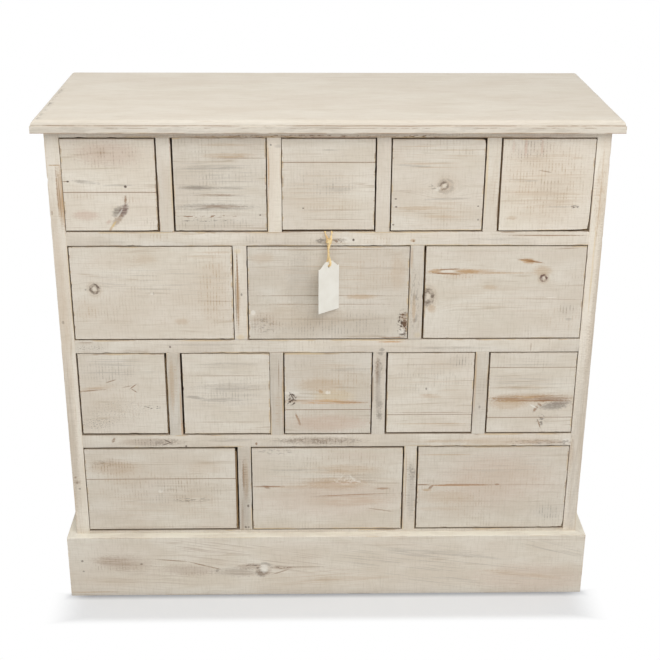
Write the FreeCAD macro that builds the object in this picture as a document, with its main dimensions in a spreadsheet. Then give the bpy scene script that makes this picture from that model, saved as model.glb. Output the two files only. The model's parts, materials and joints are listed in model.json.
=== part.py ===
"""Seed storage cabinet: a whitewashed pine chest of sixteen plain inset drawers on a plinth.

The origin is on the floor, under the middle of the whole cabinet. X runs to the right as one
faces the drawers, Y runs from the drawers to the back, and Z runs up. Rows and columns of
drawers are counted from the top left.
"""
import FreeCAD, Part
import math
import os
import re

import Sketcher

Vector = FreeCAD.Vector
os.makedirs("parts", exist_ok=True)
doc = FreeCAD.newDocument("seed_cabinet")

# The driving dimensions in millimetres, with the tag's two angles in degrees
SIZES = {
    # Carcass
    "carcass_width": 866.0,
    "carcass_depth": 347.0,
    "side_thickness": 22.0,
    "divider_thickness": 22.0,
    "shelf_thickness": 22.6,
    "base_reveal": 4.5,
    "row_1_height": 150.8,
    "row_2_height": 161.6,
    "row_3_height": 150.8,
    "row_4_height": 163.0,
    "top_rail_thickness": 10.5,
    "top_rail_depth": 60.0,
    # Joints of the carcass
    "shelf_housing": 6.0,
    "divider_housing": 3.0,
    "housing_stop": 14.0,
    "back_thickness": 6.0,
    "back_recess": 1.0,
    "back_rebate": 10.0,
    # Top board with its moulded edge
    "top_thickness": 19.5,
    "top_overhang": 17.0,
    "top_fascia": 10.5,
    "top_step": 1.5,
    "top_round": 7.5,
    # Plinth
    "plinth_height": 117.5,
    "plinth_thickness": 15.4,
    "plinth_arris": 1.2,
    "glue_block_leg": 26.0,
    "glue_block_length": 90.0,
    "corner_post": 24.0,
    "corner_post_lift": 12.0,
    # Drawers
    "front_thickness": 20.0,
    "front_side_gap": 1.9,
    "front_upper_gap": 1.7,
    "front_lower_gap": 2.1,
    "front_arris": 1.2,
    "front_lap": 10.0,
    "box_board": 12.0,
    "box_upper_gap": 14.0,
    "box_groove": 4.0,
    "box_housing": 4.0,
    "box_bottom": 5.0,
    "box_bottom_lift": 8.0,
    "box_back_setback": 9.0,
    "runner_gap": 0.3,
    "drawer_rear_gap": 0.5,
    # Nails of the back panel
    "nail_head": 4.2,
    "nail_head_height": 0.7,
    "nail_shank": 1.6,
    "nail_length": 22.0,
    # Swing tag and its string
    "tag_width": 42.2,
    "tag_body_height": 74.5,
    "tag_shoulder": 3.2,
    "tag_neck_width": 14.0,
    "tag_neck_height": 9.5,
    "tag_thickness": 0.6,
    "tag_hole": 5.0,
    "tag_hole_drop": 7.6,
    "tag_hole_below_gap": 52.4,
    "tag_clearance": 1.6,
    "tag_turn": 39.4,
    "string_diameter": 1.5,
    # How far each cut runs past the face that it opens
    "overrun": 1.0,
}

sheet = doc.addObject("Spreadsheet::Sheet", "Sizes")
for line, (alias, size) in enumerate(SIZES.items(), start=1):
    sheet.set(f"A{line}", alias.replace("_", " "))
    sheet.set(f"B{line}", str(size))
    sheet.setAlias(f"B{line}", alias)
doc.recompute()

# The rows from the top down: what sets their height, and how many drawers they hold
ROW_HEIGHT_NAMES = ("row_1_height", "row_2_height", "row_3_height", "row_4_height")
DRAWER_COUNTS = (5, 3, 5, 3)
ROWS = tuple(zip(ROW_HEIGHT_NAMES, DRAWER_COUNTS))
# Where each drawer stands in its side clearance: a share of the gap, to the right if positive
SHIFT_SHARES = (
    (-0.2, 0.2, -0.3, 0.0, 0.3),
    (-0.1, 0.0, 0.4),
    (-0.1, 0.45, 0.0, 0.3, 0.2),
    (-0.5, 0.0, 0.25),
)
# Nails up each side of the back panel and along each shelf, as shares of the panel
SIDE_NAIL_SHARES = (0.05, 0.23, 0.41, 0.59, 0.77, 0.95)
SHELF_NAIL_SHARES = (0.3, 0.7)
GLUE_BLOCK_SHARES = (0.2, 0.5, 0.8)
# Sides of the small round pieces
NAIL_HEAD_SIDES = 12
NAIL_SHANK_SIDES = 6
STRING_SIDES = 8

SIZE_NAME = re.compile(r"\b(" + "|".join(SIZES) + r")\b")


def bound(rule):
    """A sum in the names above, as an expression that reads them from the sheet."""
    return SIZE_NAME.sub(r"Sizes.\1", rule)


def measure(rule):
    """What such a sum comes to."""
    return float(sheet.evalExpression(bound(rule)))


# Rules for places that many pieces share
FRONT = "((top_overhang - carcass_depth) / 2)"
BACK = "((top_overhang + carcass_depth) / 2)"
INNER_HALF = "(carcass_width / 2 - side_thickness)"
INNER_DEPTH = "(carcass_depth - back_recess - back_thickness)"
BASE_TOP = "(plinth_height + base_reveal)"
BASE_BOTTOM = f"({BASE_TOP} - shelf_thickness)"


def opening_width(columns):
    """Width of one drawer opening in a row of so many."""
    return f"((2 * {INNER_HALF} - {columns - 1} * divider_thickness) / {columns})"


def opening_left(columns, column):
    """X of an opening's left side, with columns counted from nought."""
    return f"({column} * ({opening_width(columns)} + divider_thickness) - {INNER_HALF})"


def floor_of(row):
    """Z of the board that carries a row's drawers, with rows counted from nought at the top."""
    below = [f"{ROWS[lower][0]} + shelf_thickness" for lower in range(row + 1, len(ROWS))]
    return "(" + " + ".join([BASE_TOP, *below]) + ")"


ROW_1_TOP = f"({floor_of(0)} + row_1_height)"
CARCASS_TOP = f"({ROW_1_TOP} + top_rail_thickness)"

# The sub-parts, each under the name that its file takes
subparts = {}


def keep(piece):
    """Puts a finished piece on the list of sub-parts."""
    subparts[piece.Label] = piece
    return piece


def block(name, size, place):
    """A square-cut block: its length, depth and height, and its lowest corner."""
    piece = doc.addObject("Part::Box", name)
    for side, rule in zip(("Length", "Width", "Height"), size):
        piece.setExpression(side, bound(rule))
    for axis, rule in zip("xyz", place):
        piece.setExpression(f"Placement.Base.{axis}", bound(rule))
    return piece


def cut_from(name, blank, cutters):
    """A blank with grooves, housings and rebates cut out of it."""
    waste = cutters[0]
    if len(cutters) > 1:
        waste = doc.addObject("Part::MultiFuse", f"{name}_waste")
        waste.Shapes = cutters
    piece = doc.addObject("Part::Cut", name)
    piece.Base = blank
    piece.Tool = waste
    return piece


def joined(name, blocks):
    """One board whose outline is made of several blocks, such as a tongued divider."""
    piece = doc.addObject("Part::MultiFuse", name)
    piece.Shapes = blocks
    piece.Refine = True
    return piece


def group(name, pieces):
    """Separate solids that share one node."""
    piece = doc.addObject("Part::Compound", name)
    piece.Links = pieces
    return piece


def outline(body, name, plane, points):
    """A closed outline on one of the body's own planes, each corner held by its two rules."""
    sketch = body.newObject("Sketcher::SketchObject", f"{body.Label}_{name}")
    origin_plane = next(part for part in body.Origin.OriginFeatures if part.Role == plane)
    sketch.AttachmentSupport = (origin_plane, [""])
    sketch.MapMode = "FlatFace"
    corners = [Vector(measure(across), measure(up), 0) for across, up in points]
    for index, corner in enumerate(corners):
        following = corners[(index + 1) % len(corners)]
        sketch.addGeometry(Part.LineSegment(corner, following), False)
    for index in range(len(points)):
        sketch.addConstraint(
            Sketcher.Constraint("Coincident", index, 2, (index + 1) % len(points), 1)
        )
    for index, rules in enumerate(points):
        for kind, axis, rule in zip(("DistanceX", "DistanceY"), (-2, -1), rules):
            if rule == "0":
                sketch.addConstraint(Sketcher.Constraint("PointOnObject", index, 1, axis))
                continue
            held = Sketcher.Constraint(kind, -1, 1, index, 1, measure(rule))
            number = sketch.addConstraint(held)
            sketch.setExpression(f"Constraints[{number}]", bound(rule))
    return sketch


def pad(body, sketch, height):
    """Raises an outline into a solid."""
    feature = body.newObject("PartDesign::Pad", f"{sketch.Label}_pad")
    feature.Profile = sketch
    feature.setExpression("Length", bound(height))
    return feature


def ease(body, feature, radius, chosen):
    """Rounds the edges that a test picks out, such as those round a face."""
    names = [f"Edge{n}" for n, edge in enumerate(feature.Shape.Edges, start=1) if chosen(edge)]
    fillet = body.newObject("PartDesign::Fillet", f"{feature.Label}_eased")
    fillet.Base = (feature, names)
    fillet.setExpression("Radius", bound(radius))
    body.Tip = fillet
    return fillet


def stand(piece, place):
    """Puts a piece at its place, each coordinate held by its rule."""
    for axis, rule in zip("xyz", place):
        piece.setExpression(f"Placement.Base.{axis}", bound(rule))


def lies_at(edge, direction, distance):
    """True if both ends of an edge lie at one distance along a direction."""
    return all(
        abs(end.Point.dot(direction) - distance) <= end.Tolerance for end in edge.Vertexes
    )


# Side panels


def side_panel(name, hand):
    """A side down to the floor, housed for the boards and rebated for the back panel."""
    inner_face = f"({hand} * {INNER_HALF})"
    left = "-carcass_width / 2" if hand < 0 else inner_face

    def inner_cut(part, depth, place_y, place_z, height):
        """Waste that reaches so deep into the inner face and runs out at the back."""
        start = f"{inner_face} - {depth}" if hand < 0 else f"{inner_face} - overrun"
        size = (f"{depth} + overrun", f"{BACK} + overrun - {place_y}", height)
        return block(f"{name}_{part}", size, (start, place_y, place_z))

    blank = block(
        f"{name}_blank",
        ("side_thickness", "carcass_depth", CARCASS_TOP),
        (left, FRONT, "0"),
    )
    housing_front = f"({FRONT} + housing_stop)"
    cutters = [
        inner_cut(
            f"housing_{row + 1}",
            "shelf_housing",
            housing_front,
            f"{floor_of(row)} - shelf_thickness",
            "shelf_thickness",
        )
        for row in range(len(ROWS))
    ]
    cutters.append(
        inner_cut(
            "rebate",
            "back_rebate",
            f"({FRONT} + {INNER_DEPTH})",
            BASE_BOTTOM,
            f"{CARCASS_TOP} - {BASE_BOTTOM} + overrun",
        )
    )
    return keep(cut_from(name, blank, cutters))


side_panel("side_left", -1)
side_panel("side_right", 1)

# Shelves and base board


def divider_grooves(name, columns, place_z):
    """Waste for the stopped housings that hold a row's dividers."""
    return [
        block(
            f"{name}_groove_{column}_{columns}",
            (
                "divider_thickness",
                f"{INNER_DEPTH} - housing_stop + overrun",
                "divider_housing + overrun",
            ),
            (
                f"{opening_left(columns, column)} - divider_thickness",
                f"{FRONT} + housing_stop",
                place_z,
            ),
        )
        for column in range(1, columns)
    ]


def shelf(name, row):
    """The board under a row: its ends sit in the sides, and dividers stand in its faces."""
    top = floor_of(row)
    blank = block(
        f"{name}_blank",
        (f"2 * ({INNER_HALF} + shelf_housing)", INNER_DEPTH, "shelf_thickness"),
        (f"-({INNER_HALF} + shelf_housing)", FRONT, f"{top} - shelf_thickness"),
    )
    notch_size = (
        "shelf_housing + overrun",
        "housing_stop + overrun",
        "shelf_thickness + 2 * overrun",
    )
    notch_place = (f"{FRONT} - overrun", f"{top} - shelf_thickness - overrun")
    cutters = [
        block(f"{name}_notch_left", notch_size, (f"-{INNER_HALF} - shelf_housing - overrun", *notch_place)),
        block(f"{name}_notch_right", notch_size, (INNER_HALF, *notch_place)),
    ]
    cutters += divider_grooves(f"{name}_upper", ROWS[row][1], f"{top} - divider_housing")
    if row + 1 < len(ROWS):
        cutters += divider_grooves(
            f"{name}_lower", ROWS[row + 1][1], f"{top} - shelf_thickness - overrun"
        )
    return keep(cut_from(name, blank, cutters))


for row in range(len(ROWS) - 1):
    shelf(f"shelf_{row + 1}", row)
shelf("base_board", len(ROWS) - 1)

# Rails under the top board, front and back

rail_size = (f"2 * {INNER_HALF}", "top_rail_depth", "top_rail_thickness")
keep(
    group(
        "top_rails",
        [
            block("front_rail", rail_size, (f"-{INNER_HALF}", FRONT, ROW_1_TOP)),
            block(
                "rear_rail",
                rail_size,
                (f"-{INNER_HALF}", f"{FRONT} + {INNER_DEPTH} - top_rail_depth", ROW_1_TOP),
            ),
        ],
    )
)

# Dividers


def divider(row, column):
    """An upright between two drawers, tongued into the boards above and below it."""
    height, columns = ROWS[row]
    name = f"divider_r{row + 1}_{column}"
    left = f"({opening_left(columns, column)} - divider_thickness)"
    tongue_depth = f"{INNER_DEPTH} - housing_stop"
    housing_front = f"{FRONT} + housing_stop"
    core = block(
        f"{name}_core",
        ("divider_thickness", INNER_DEPTH, height),
        (left, FRONT, floor_of(row)),
    )
    rise = height if row == 0 else f"{height} + divider_housing"
    tongues = block(
        f"{name}_tongues",
        ("divider_thickness", tongue_depth, f"{rise} + divider_housing"),
        (left, housing_front, f"{floor_of(row)} - divider_housing"),
    )
    blocks = [core, tongues]
    if row == 0:
        # The top row's dividers stand up between the two rails to meet the top board
        blocks.append(
            block(
                f"{name}_web",
                (
                    "divider_thickness",
                    f"{INNER_DEPTH} - 2 * top_rail_depth",
                    f"{height} + top_rail_thickness",
                ),
                (left, f"{FRONT} + top_rail_depth", floor_of(row)),
            )
        )
    return keep(joined(name, blocks))


for row, (_, columns) in enumerate(ROWS):
    for column in range(1, columns):
        divider(row, column)

# Back panel

PANEL_FRONT = f"({FRONT} + {INNER_DEPTH})"
PANEL_HALF = f"({INNER_HALF} + back_rebate)"
PANEL_HEIGHT = f"({CARCASS_TOP} - {BASE_BOTTOM})"
keep(
    block(
        "back_panel",
        (f"2 * {PANEL_HALF}", "back_thickness", PANEL_HEIGHT),
        (f"-{PANEL_HALF}", PANEL_FRONT, BASE_BOTTOM),
    )
)


def nail(number, place_x, place_z):
    """A nail driven from behind through the back panel, its head and shank many-sided prisms."""
    parts = []
    for part, sides, diameter, length, start in (
        ("head", NAIL_HEAD_SIDES, "nail_head", "nail_head_height", f"{PANEL_FRONT} + back_thickness"),
        (
            "shank",
            NAIL_SHANK_SIDES,
            "nail_shank",
            "nail_length",
            f"{PANEL_FRONT} + back_thickness - nail_length",
        ),
    ):
        rod = doc.addObject("Part::Prism", f"nail_{number}_{part}")
        rod.Polygon = sides
        rod.Placement.Rotation = FreeCAD.Rotation(Vector(0, 0, 1), Vector(0, 1, 0))
        rod.setExpression("Circumradius", bound(f"{diameter} / 2"))
        rod.setExpression("Height", bound(length))
        stand(rod, (place_x, start, place_z))
        parts.append(rod)
    return joined(f"nail_{number}", parts)


NAIL_LINE = f"({INNER_HALF} + back_rebate / 2)"
nail_places = [
    (f"{hand} * {NAIL_LINE}", f"{BASE_BOTTOM} + {share} * {PANEL_HEIGHT}")
    for hand in (-1, 1)
    for share in SIDE_NAIL_SHARES
]
nail_places += [
    (f"(2 * {share} - 1) * {PANEL_HALF}", f"{floor_of(row)} - shelf_thickness / 2")
    for row in range(len(ROWS))
    for share in SHELF_NAIL_SHARES
]
keep(
    group(
        "back_panel_nails",
        [nail(number, *place) for number, place in enumerate(nail_places, start=1)],
    )
)

# Top board: a wide slab whose upper layer is set in and rounded over on three sides

top = doc.addObject("PartDesign::Body", "top_board")
TOP_WIDTH = "(carcass_width + 2 * top_overhang)"
TOP_DEPTH = "(carcass_depth + top_overhang)"
slab = outline(
    top,
    "fascia",
    "XY_Plane",
    [("0", "0"), (TOP_WIDTH, "0"), (TOP_WIDTH, TOP_DEPTH), ("0", TOP_DEPTH)],
)
pad(top, slab, "top_fascia")
inset_right = f"{TOP_WIDTH} - top_step"
upper = outline(
    top,
    "upper",
    "XY_Plane",
    [
        ("top_step", "top_step"),
        (inset_right, "top_step"),
        (inset_right, TOP_DEPTH),
        ("top_step", TOP_DEPTH),
    ],
)
upper_layer = pad(top, upper, "top_thickness")
doc.recompute()


def on_moulded_rim(edge):
    """True for the front and side edges of the top board's upper face."""
    return lies_at(edge, Vector(0, 0, 1), measure("top_thickness")) and not lies_at(
        edge, Vector(0, 1, 0), measure(TOP_DEPTH)
    )


ease(top, upper_layer, "top_round", on_moulded_rim)
stand(top, (f"-{TOP_WIDTH} / 2", f"-{TOP_DEPTH} / 2", CARCASS_TOP))
keep(top)

# Plinth: three boards round the foot, mitred at the front corners


def plinth_board(name, points, outer, distance, place):
    """A plinth board from its plan, with its upper outer arris eased."""
    body = doc.addObject("PartDesign::Body", name)
    plan = outline(body, "plan", "XY_Plane", points)
    board = pad(body, plan, "plinth_height")
    doc.recompute()

    def outer_arris(edge):
        """True for the upper edge of the outer face."""
        at_top = lies_at(edge, Vector(0, 0, 1), measure("plinth_height"))
        return at_top and lies_at(edge, outer, measure(distance))

    ease(body, board, "plinth_arris", outer_arris)
    stand(body, place)
    return keep(body)


PLINTH_WIDTH = "(carcass_width + 2 * plinth_thickness)"
PLINTH_DEPTH = "(carcass_depth + plinth_thickness)"
plinth_front_y = f"{FRONT} - plinth_thickness"
plinth_board(
    "plinth_front",
    [
        ("0", "0"),
        (PLINTH_WIDTH, "0"),
        (f"{PLINTH_WIDTH} - plinth_thickness", "plinth_thickness"),
        ("plinth_thickness", "plinth_thickness"),
    ],
    Vector(0, 1, 0),
    "0",
    (f"-{PLINTH_WIDTH} / 2", plinth_front_y, "0"),
)
plinth_board(
    "plinth_left",
    [
        ("0", "0"),
        ("plinth_thickness", "plinth_thickness"),
        ("plinth_thickness", PLINTH_DEPTH),
        ("0", PLINTH_DEPTH),
    ],
    Vector(1, 0, 0),
    "0",
    (f"-{PLINTH_WIDTH} / 2", plinth_front_y, "0"),
)
plinth_board(
    "plinth_right",
    [
        ("plinth_thickness", "0"),
        ("plinth_thickness", PLINTH_DEPTH),
        ("0", PLINTH_DEPTH),
        ("0", "plinth_thickness"),
    ],
    Vector(1, 0, 0),
    "plinth_thickness",
    ("carcass_width / 2", plinth_front_y, "0"),
)

# Glue blocks behind the plinth: three-cornered under the base board, square in the corners


def glue_block(number, share):
    """A three-cornered block in the angle of the plinth and the base board."""
    piece = doc.addObject("Part::Wedge", f"glue_block_{number}")
    for side in ("Xmin", "X2min", "Ymin", "Zmin"):
        piece.setExpression(side, "0")
    for side in ("Xmax", "X2max"):
        piece.setExpression(side, bound("glue_block_length"))
    for side in ("Ymax", "Zmax", "Z2min", "Z2max"):
        piece.setExpression(side, bound("glue_block_leg"))
    middle = f"(2 * {share} - 1) * {INNER_HALF}"
    stand(piece, (f"{middle} - glue_block_length / 2", FRONT, f"{BASE_BOTTOM} - glue_block_leg"))
    return piece


post_size = ("corner_post", "corner_post", f"{BASE_BOTTOM} - corner_post_lift")
keep(
    group(
        "glue_blocks",
        [glue_block(number, share) for number, share in enumerate(GLUE_BLOCK_SHARES, start=1)]
        + [
            block("corner_post_left", post_size, (f"-{INNER_HALF}", FRONT, "corner_post_lift")),
            block(
                "corner_post_right",
                post_size,
                (f"{INNER_HALF} - corner_post", FRONT, "corner_post_lift"),
            ),
        ],
    )
)

# Drawers, each modelled from its opening's lower front left corner

DRAWER_LENGTH = f"({INNER_DEPTH} - drawer_rear_gap)"
BACK_FACE = f"({DRAWER_LENGTH} - box_back_setback)"
GROOVE_BOTTOM = "(runner_gap + box_bottom_lift)"
GROOVE_TOP = f"({GROOVE_BOTTOM} + box_bottom)"
fronts_to_ease = []


def drawer_front(name, width, height):
    """The inset front: lapped over the sides at its ends and grooved for the bottom."""
    body = doc.addObject("PartDesign::Body", name)
    tongue = "(front_thickness - front_lap)"
    plan = outline(
        body,
        "plan",
        "XY_Plane",
        [
            ("0", "0"),
            (width, "0"),
            (width, tongue),
            (f"{width} - box_board", tongue),
            (f"{width} - box_board", "front_thickness"),
            ("box_board", "front_thickness"),
            ("box_board", tongue),
            ("0", tongue),
        ],
    )
    fronts_to_ease.append((body, pad(body, plan, f"{height} - front_lower_gap - front_upper_gap")))
    return keep(body)


def drawer_box(name, width, height):
    """Two sides, a back housed between them and a bottom in grooves, as separate solids."""
    side_length = f"({DRAWER_LENGTH} - front_thickness + front_lap)"
    side_height = f"({height} - runner_gap - box_upper_gap)"
    side_front = "(front_thickness - front_lap)"
    boards = []
    for part, left, groove_left, housing_left in (
        ("left", "0", "box_board - box_groove", "box_board - box_housing"),
        ("right", f"{width} - box_board", f"{width} - box_board", f"{width} - box_board"),
    ):
        blank = block(
            f"{name}_{part}_blank",
            ("box_board", side_length, side_height),
            (left, side_front, "runner_gap"),
        )
        # The right side's waste starts outside its inner face, and the left side's ends there
        lead = "0" if part == "left" else "overrun"
        groove = block(
            f"{name}_{part}_groove",
            ("box_groove + overrun", f"{side_length} + 2 * overrun", "box_bottom"),
            (f"{groove_left} - {lead}", f"{side_front} - overrun", GROOVE_BOTTOM),
        )
        housing = block(
            f"{name}_{part}_housing",
            ("box_housing + overrun", "box_board", f"{height} - {GROOVE_TOP}"),
            (f"{housing_left} - {lead}", f"{BACK_FACE} - box_board", GROOVE_TOP),
        )
        boards.append(cut_from(f"{name}_{part}", blank, [groove, housing]))
    boards.append(
        block(
            f"{name}_back",
            (
                f"{width} - 2 * (box_board - box_housing)",
                "box_board",
                f"runner_gap + {side_height} - {GROOVE_TOP}",
            ),
            ("box_board - box_housing", f"{BACK_FACE} - box_board", GROOVE_TOP),
        )
    )
    boards.append(
        block(
            f"{name}_bottom",
            (
                f"{width} - 2 * (box_board - box_groove)",
                f"{BACK_FACE} - front_thickness + box_groove",
                "box_bottom",
            ),
            ("box_board - box_groove", "front_thickness - box_groove", GROOVE_BOTTOM),
        )
    )
    return keep(group(name, boards))


for row, (height, columns) in enumerate(ROWS):
    for column in range(columns):
        name = f"drawer_r{row + 1}c{column + 1}"
        share = SHIFT_SHARES[row][column]
        width = f"({opening_width(columns)} - 2 * front_side_gap)"
        left = f"{opening_left(columns, column)} + {1 + share} * front_side_gap"
        front = drawer_front(f"{name}_front", width, height)
        stand(front, (left, FRONT, f"{floor_of(row)} + front_lower_gap"))
        stand(drawer_box(f"{name}_box", width, height), (left, FRONT, floor_of(row)))

doc.recompute()
for body, board in fronts_to_ease:
    eased = ease(body, board, "front_arris", lambda edge: lies_at(edge, Vector(0, 1, 0), 0))
    groove_low = f"({GROOVE_BOTTOM} - front_lower_gap)"
    groove_high = f"({GROOVE_TOP} - front_lower_gap)"
    groove_depth = "(front_thickness - box_groove)"
    groove = outline(
        body,
        "groove",
        "YZ_Plane",
        [
            (groove_depth, groove_low),
            ("front_thickness", groove_low),
            ("front_thickness", groove_high),
            (groove_depth, groove_high),
        ],
    )
    pocket = body.newObject("PartDesign::Pocket", f"{body.Label}_groove_cut")
    pocket.Profile = groove
    pocket.Type = "ThroughAll"
    pocket.Reversed = True
    body.Tip = pocket

# Swing tag, hanging from a loop of string out of the gap over the middle drawer of row 2

GAP_HEIGHT = f"({floor_of(0)} + front_lower_gap / 2)"
TAG_HOLE_Z = f"({GAP_HEIGHT} - tag_hole_below_gap)"
TAG_HEIGHT = "(tag_body_height + tag_neck_height)"
TAG_OUT = "(tag_clearance + (tag_width / 2) * sin(tag_turn * 1deg))"
TAG_HOLE_UP = f"({TAG_HEIGHT} - tag_hole_drop)"
NECK_LEFT = "((tag_width - tag_neck_width) / 2)"
NECK_RIGHT = f"({NECK_LEFT} + tag_neck_width)"

tag = doc.addObject("PartDesign::Body", "hang_tag")
tag_face = outline(
    tag,
    "face",
    "XZ_Plane",
    [
        ("0", "0"),
        ("tag_width", "0"),
        ("tag_width", "tag_body_height"),
        ("tag_width - tag_shoulder", "tag_body_height"),
        (NECK_RIGHT, TAG_HEIGHT),
        (NECK_LEFT, TAG_HEIGHT),
        ("tag_shoulder", "tag_body_height"),
        ("0", "tag_body_height"),
    ],
)
hole = tag_face.addGeometry(
    Part.Circle(
        Vector(measure("tag_width / 2"), measure(TAG_HOLE_UP), 0),
        Vector(0, 0, 1),
        measure("tag_hole / 2"),
    ),
    False,
)
for kind, rule in (("DistanceX", "tag_width / 2"), ("DistanceY", TAG_HOLE_UP)):
    number = tag_face.addConstraint(Sketcher.Constraint(kind, -1, 1, hole, 3, measure(rule)))
    tag_face.setExpression(f"Constraints[{number}]", bound(rule))
number = tag_face.addConstraint(Sketcher.Constraint("Radius", hole, measure("tag_hole / 2")))
tag_face.setExpression(f"Constraints[{number}]", bound("tag_hole / 2"))
pad(tag, tag_face, "tag_thickness")
tag.Placement.Rotation = FreeCAD.Rotation(Vector(0, 0, 1), measure("tag_turn"))
stand(
    tag,
    (
        "-(tag_width / 2) * cos(tag_turn * 1deg)",
        f"{FRONT} - {TAG_OUT} - (tag_width / 2) * sin(tag_turn * 1deg)",
        f"{TAG_HOLE_Z} - {TAG_HOLE_UP}",
    ),
)
keep(tag)

# The string's route from the gap through the tag's hole and back, one point to a bend: how far
# right of the middle, how far out from the drawer fronts, and how far above the gap
STRING_ROUTE = (
    (-5.6, 0.0, 0.0),
    (-5.6, 3.6, -0.2),
    (-4.6, 6.6, -4.4),
    (-1.2, 7.4, -11.6),
    (-2.6, 8.2, -20.0),
    (0.2, 9.4, -31.0),
    (-1.0, 11.2, -41.0),
    (-2.4, 11.8, -47.4),
    (-1.7, 12.6, -51.2),
    (0.9, 15.8, -51.7),
    (2.9, 18.2, -49.2),
    (2.0, 17.4, -41.4),
    (-1.4, 14.4, -31.4),
    (0.6, 12.0, -21.0),
    (2.2, 9.4, -11.6),
    (4.4, 6.6, -4.4),
    (5.2, 3.6, -0.2),
    (5.2, 0.0, 0.0),
)
# How much of the shorter run each bend takes up
BEND_SHARE = 0.45


def string_tube():
    """An eight-sided tube along straight runs joined by arcs, as large as the runs allow."""
    middle = Vector(0, measure(FRONT), measure(GAP_HEIGHT))
    points = [middle + Vector(right, -out, up) for right, out, up in STRING_ROUTE]
    edges = []
    radii = []
    start = points[0]
    for before, corner, after in zip(points, points[1:], points[2:]):
        reach = BEND_SHARE * min((corner - before).Length, (after - corner).Length)
        incoming = (corner - before).normalize()
        outgoing = (after - corner).normalize()
        turn = incoming.getAngle(outgoing)
        radius = reach / math.tan(turn / 2)
        radii.append(radius)
        arc_start = corner - incoming * reach
        arc_end = corner + outgoing * reach
        to_centre = (outgoing - incoming).normalize()
        arc_middle = corner + to_centre * (radius / math.cos(turn / 2) - radius)
        edges.append(Part.LineSegment(start, arc_start).toShape())
        edges.append(Part.Arc(arc_start, arc_middle, arc_end).toShape())
        start = arc_end
    edges.append(Part.LineSegment(start, points[-1]).toShape())
    path = Part.Wire(edges)
    radius = measure("string_diameter / 2")
    across = Vector(radius, 0, 0)
    upward = Vector(0, 0, radius)
    turns = [2 * math.pi * side / STRING_SIDES for side in range(STRING_SIDES)]
    corners = [points[0] + across * math.cos(turn) + upward * math.sin(turn) for turn in turns]
    section = Part.makePolygon(corners, True)
    tube = path.makePipeShell([section], True, True)
    area = Part.Face(section).Area
    print(
        f"string: {path.Length:.1f} mm long, tightest bend {min(radii):.1f} mm, volume over",
        f"section times length {tube.Volume / (area * path.Length):.4f}",
    )
    print("string bend radii:", " ".join(f"{bend:.1f}" for bend in radii))
    return tube


tag_string = doc.addObject("Part::Feature", "tag_string")
tag_string.Shape = string_tube()
keep(tag_string)

# Check every object, then write each sub-part to its own file

doc.recompute()
for item in doc.Objects:
    if {"Invalid", "Error"} & set(item.State):
        raise RuntimeError(f"{item.Label} did not recompute: {item.State}")
for body, board in fronts_to_ease:
    if not body.Shape.Volume < board.Shape.Volume:
        raise RuntimeError(f"{body.Label} has no groove")
for label, piece in subparts.items():
    if piece.Shape.isNull() or not piece.Shape.isValid():
        raise RuntimeError(f"{label} has no valid shape")
for label, piece in subparts.items():
    piece.Shape.exportStep(f"parts/{label}.step")
print(len(subparts), "sub-parts,", sum(len(p.Shape.Solids) for p in subparts.values()), "solids")
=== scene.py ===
# %% [markdown]
# # A whitewashed seed cabinet
#
# The real object is a pine chest on a plinth, with sixteen plain drawers set flush into a grid of
# boards, and a paper tag that hangs on a loop of raffia. Its looks come from sawn wood under a
# thin coat of limewash. The construction is already modelled, so this lesson loads it, keeps its
# places and sizes, and makes each visible board again with the marks that saw, brush and wear
# leave on it.

import json
import math
from collections import namedtuple

import bmesh
import bpy
from mathutils import Matrix, Vector, noise

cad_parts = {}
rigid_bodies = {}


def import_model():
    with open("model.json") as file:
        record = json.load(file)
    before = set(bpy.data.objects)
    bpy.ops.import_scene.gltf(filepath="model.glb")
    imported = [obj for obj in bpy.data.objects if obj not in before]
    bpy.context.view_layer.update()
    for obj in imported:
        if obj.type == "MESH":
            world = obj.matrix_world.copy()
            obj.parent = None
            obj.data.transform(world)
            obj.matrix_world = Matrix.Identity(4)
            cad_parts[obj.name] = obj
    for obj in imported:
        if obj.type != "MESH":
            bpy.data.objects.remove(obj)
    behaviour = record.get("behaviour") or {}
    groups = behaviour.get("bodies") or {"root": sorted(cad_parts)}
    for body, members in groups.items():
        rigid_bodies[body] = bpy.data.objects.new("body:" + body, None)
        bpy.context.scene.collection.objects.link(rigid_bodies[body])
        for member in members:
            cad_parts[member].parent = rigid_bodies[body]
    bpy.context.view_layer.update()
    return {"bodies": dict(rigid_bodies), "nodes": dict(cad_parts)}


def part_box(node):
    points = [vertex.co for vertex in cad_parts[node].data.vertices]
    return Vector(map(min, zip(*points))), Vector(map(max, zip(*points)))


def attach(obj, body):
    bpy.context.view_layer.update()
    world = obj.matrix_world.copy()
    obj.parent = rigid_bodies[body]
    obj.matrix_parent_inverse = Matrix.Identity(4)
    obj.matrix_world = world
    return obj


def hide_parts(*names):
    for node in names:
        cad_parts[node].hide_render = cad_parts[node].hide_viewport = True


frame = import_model()
MM = 0.001
FRONT_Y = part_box("side_left")[0].y
CARCASS_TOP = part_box("side_left")[1].z
DRAWERS = [name for name in frame["bodies"] if name.startswith("drawer")]

# %% [markdown]
# ## The camera
#
# The view is a product shot from a little above the top board. The lens and the place follow from
# the way the cabinet's level and upright edges run together. A camera looks along its own minus Z,
# so the three directions that were worked out become the columns of its rotation.

# %% Place the camera
SENSOR = 36.0
LENS = 68.23
CAMERA_PLACE = Vector((-39.5, -2033.9, 1284.9)) * MM
CAMERA_DOWN = math.radians(22.82)
CAMERA_ASIDE = math.radians(1.30)
CAMERA_ROLL = math.radians(-0.33)


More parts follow.
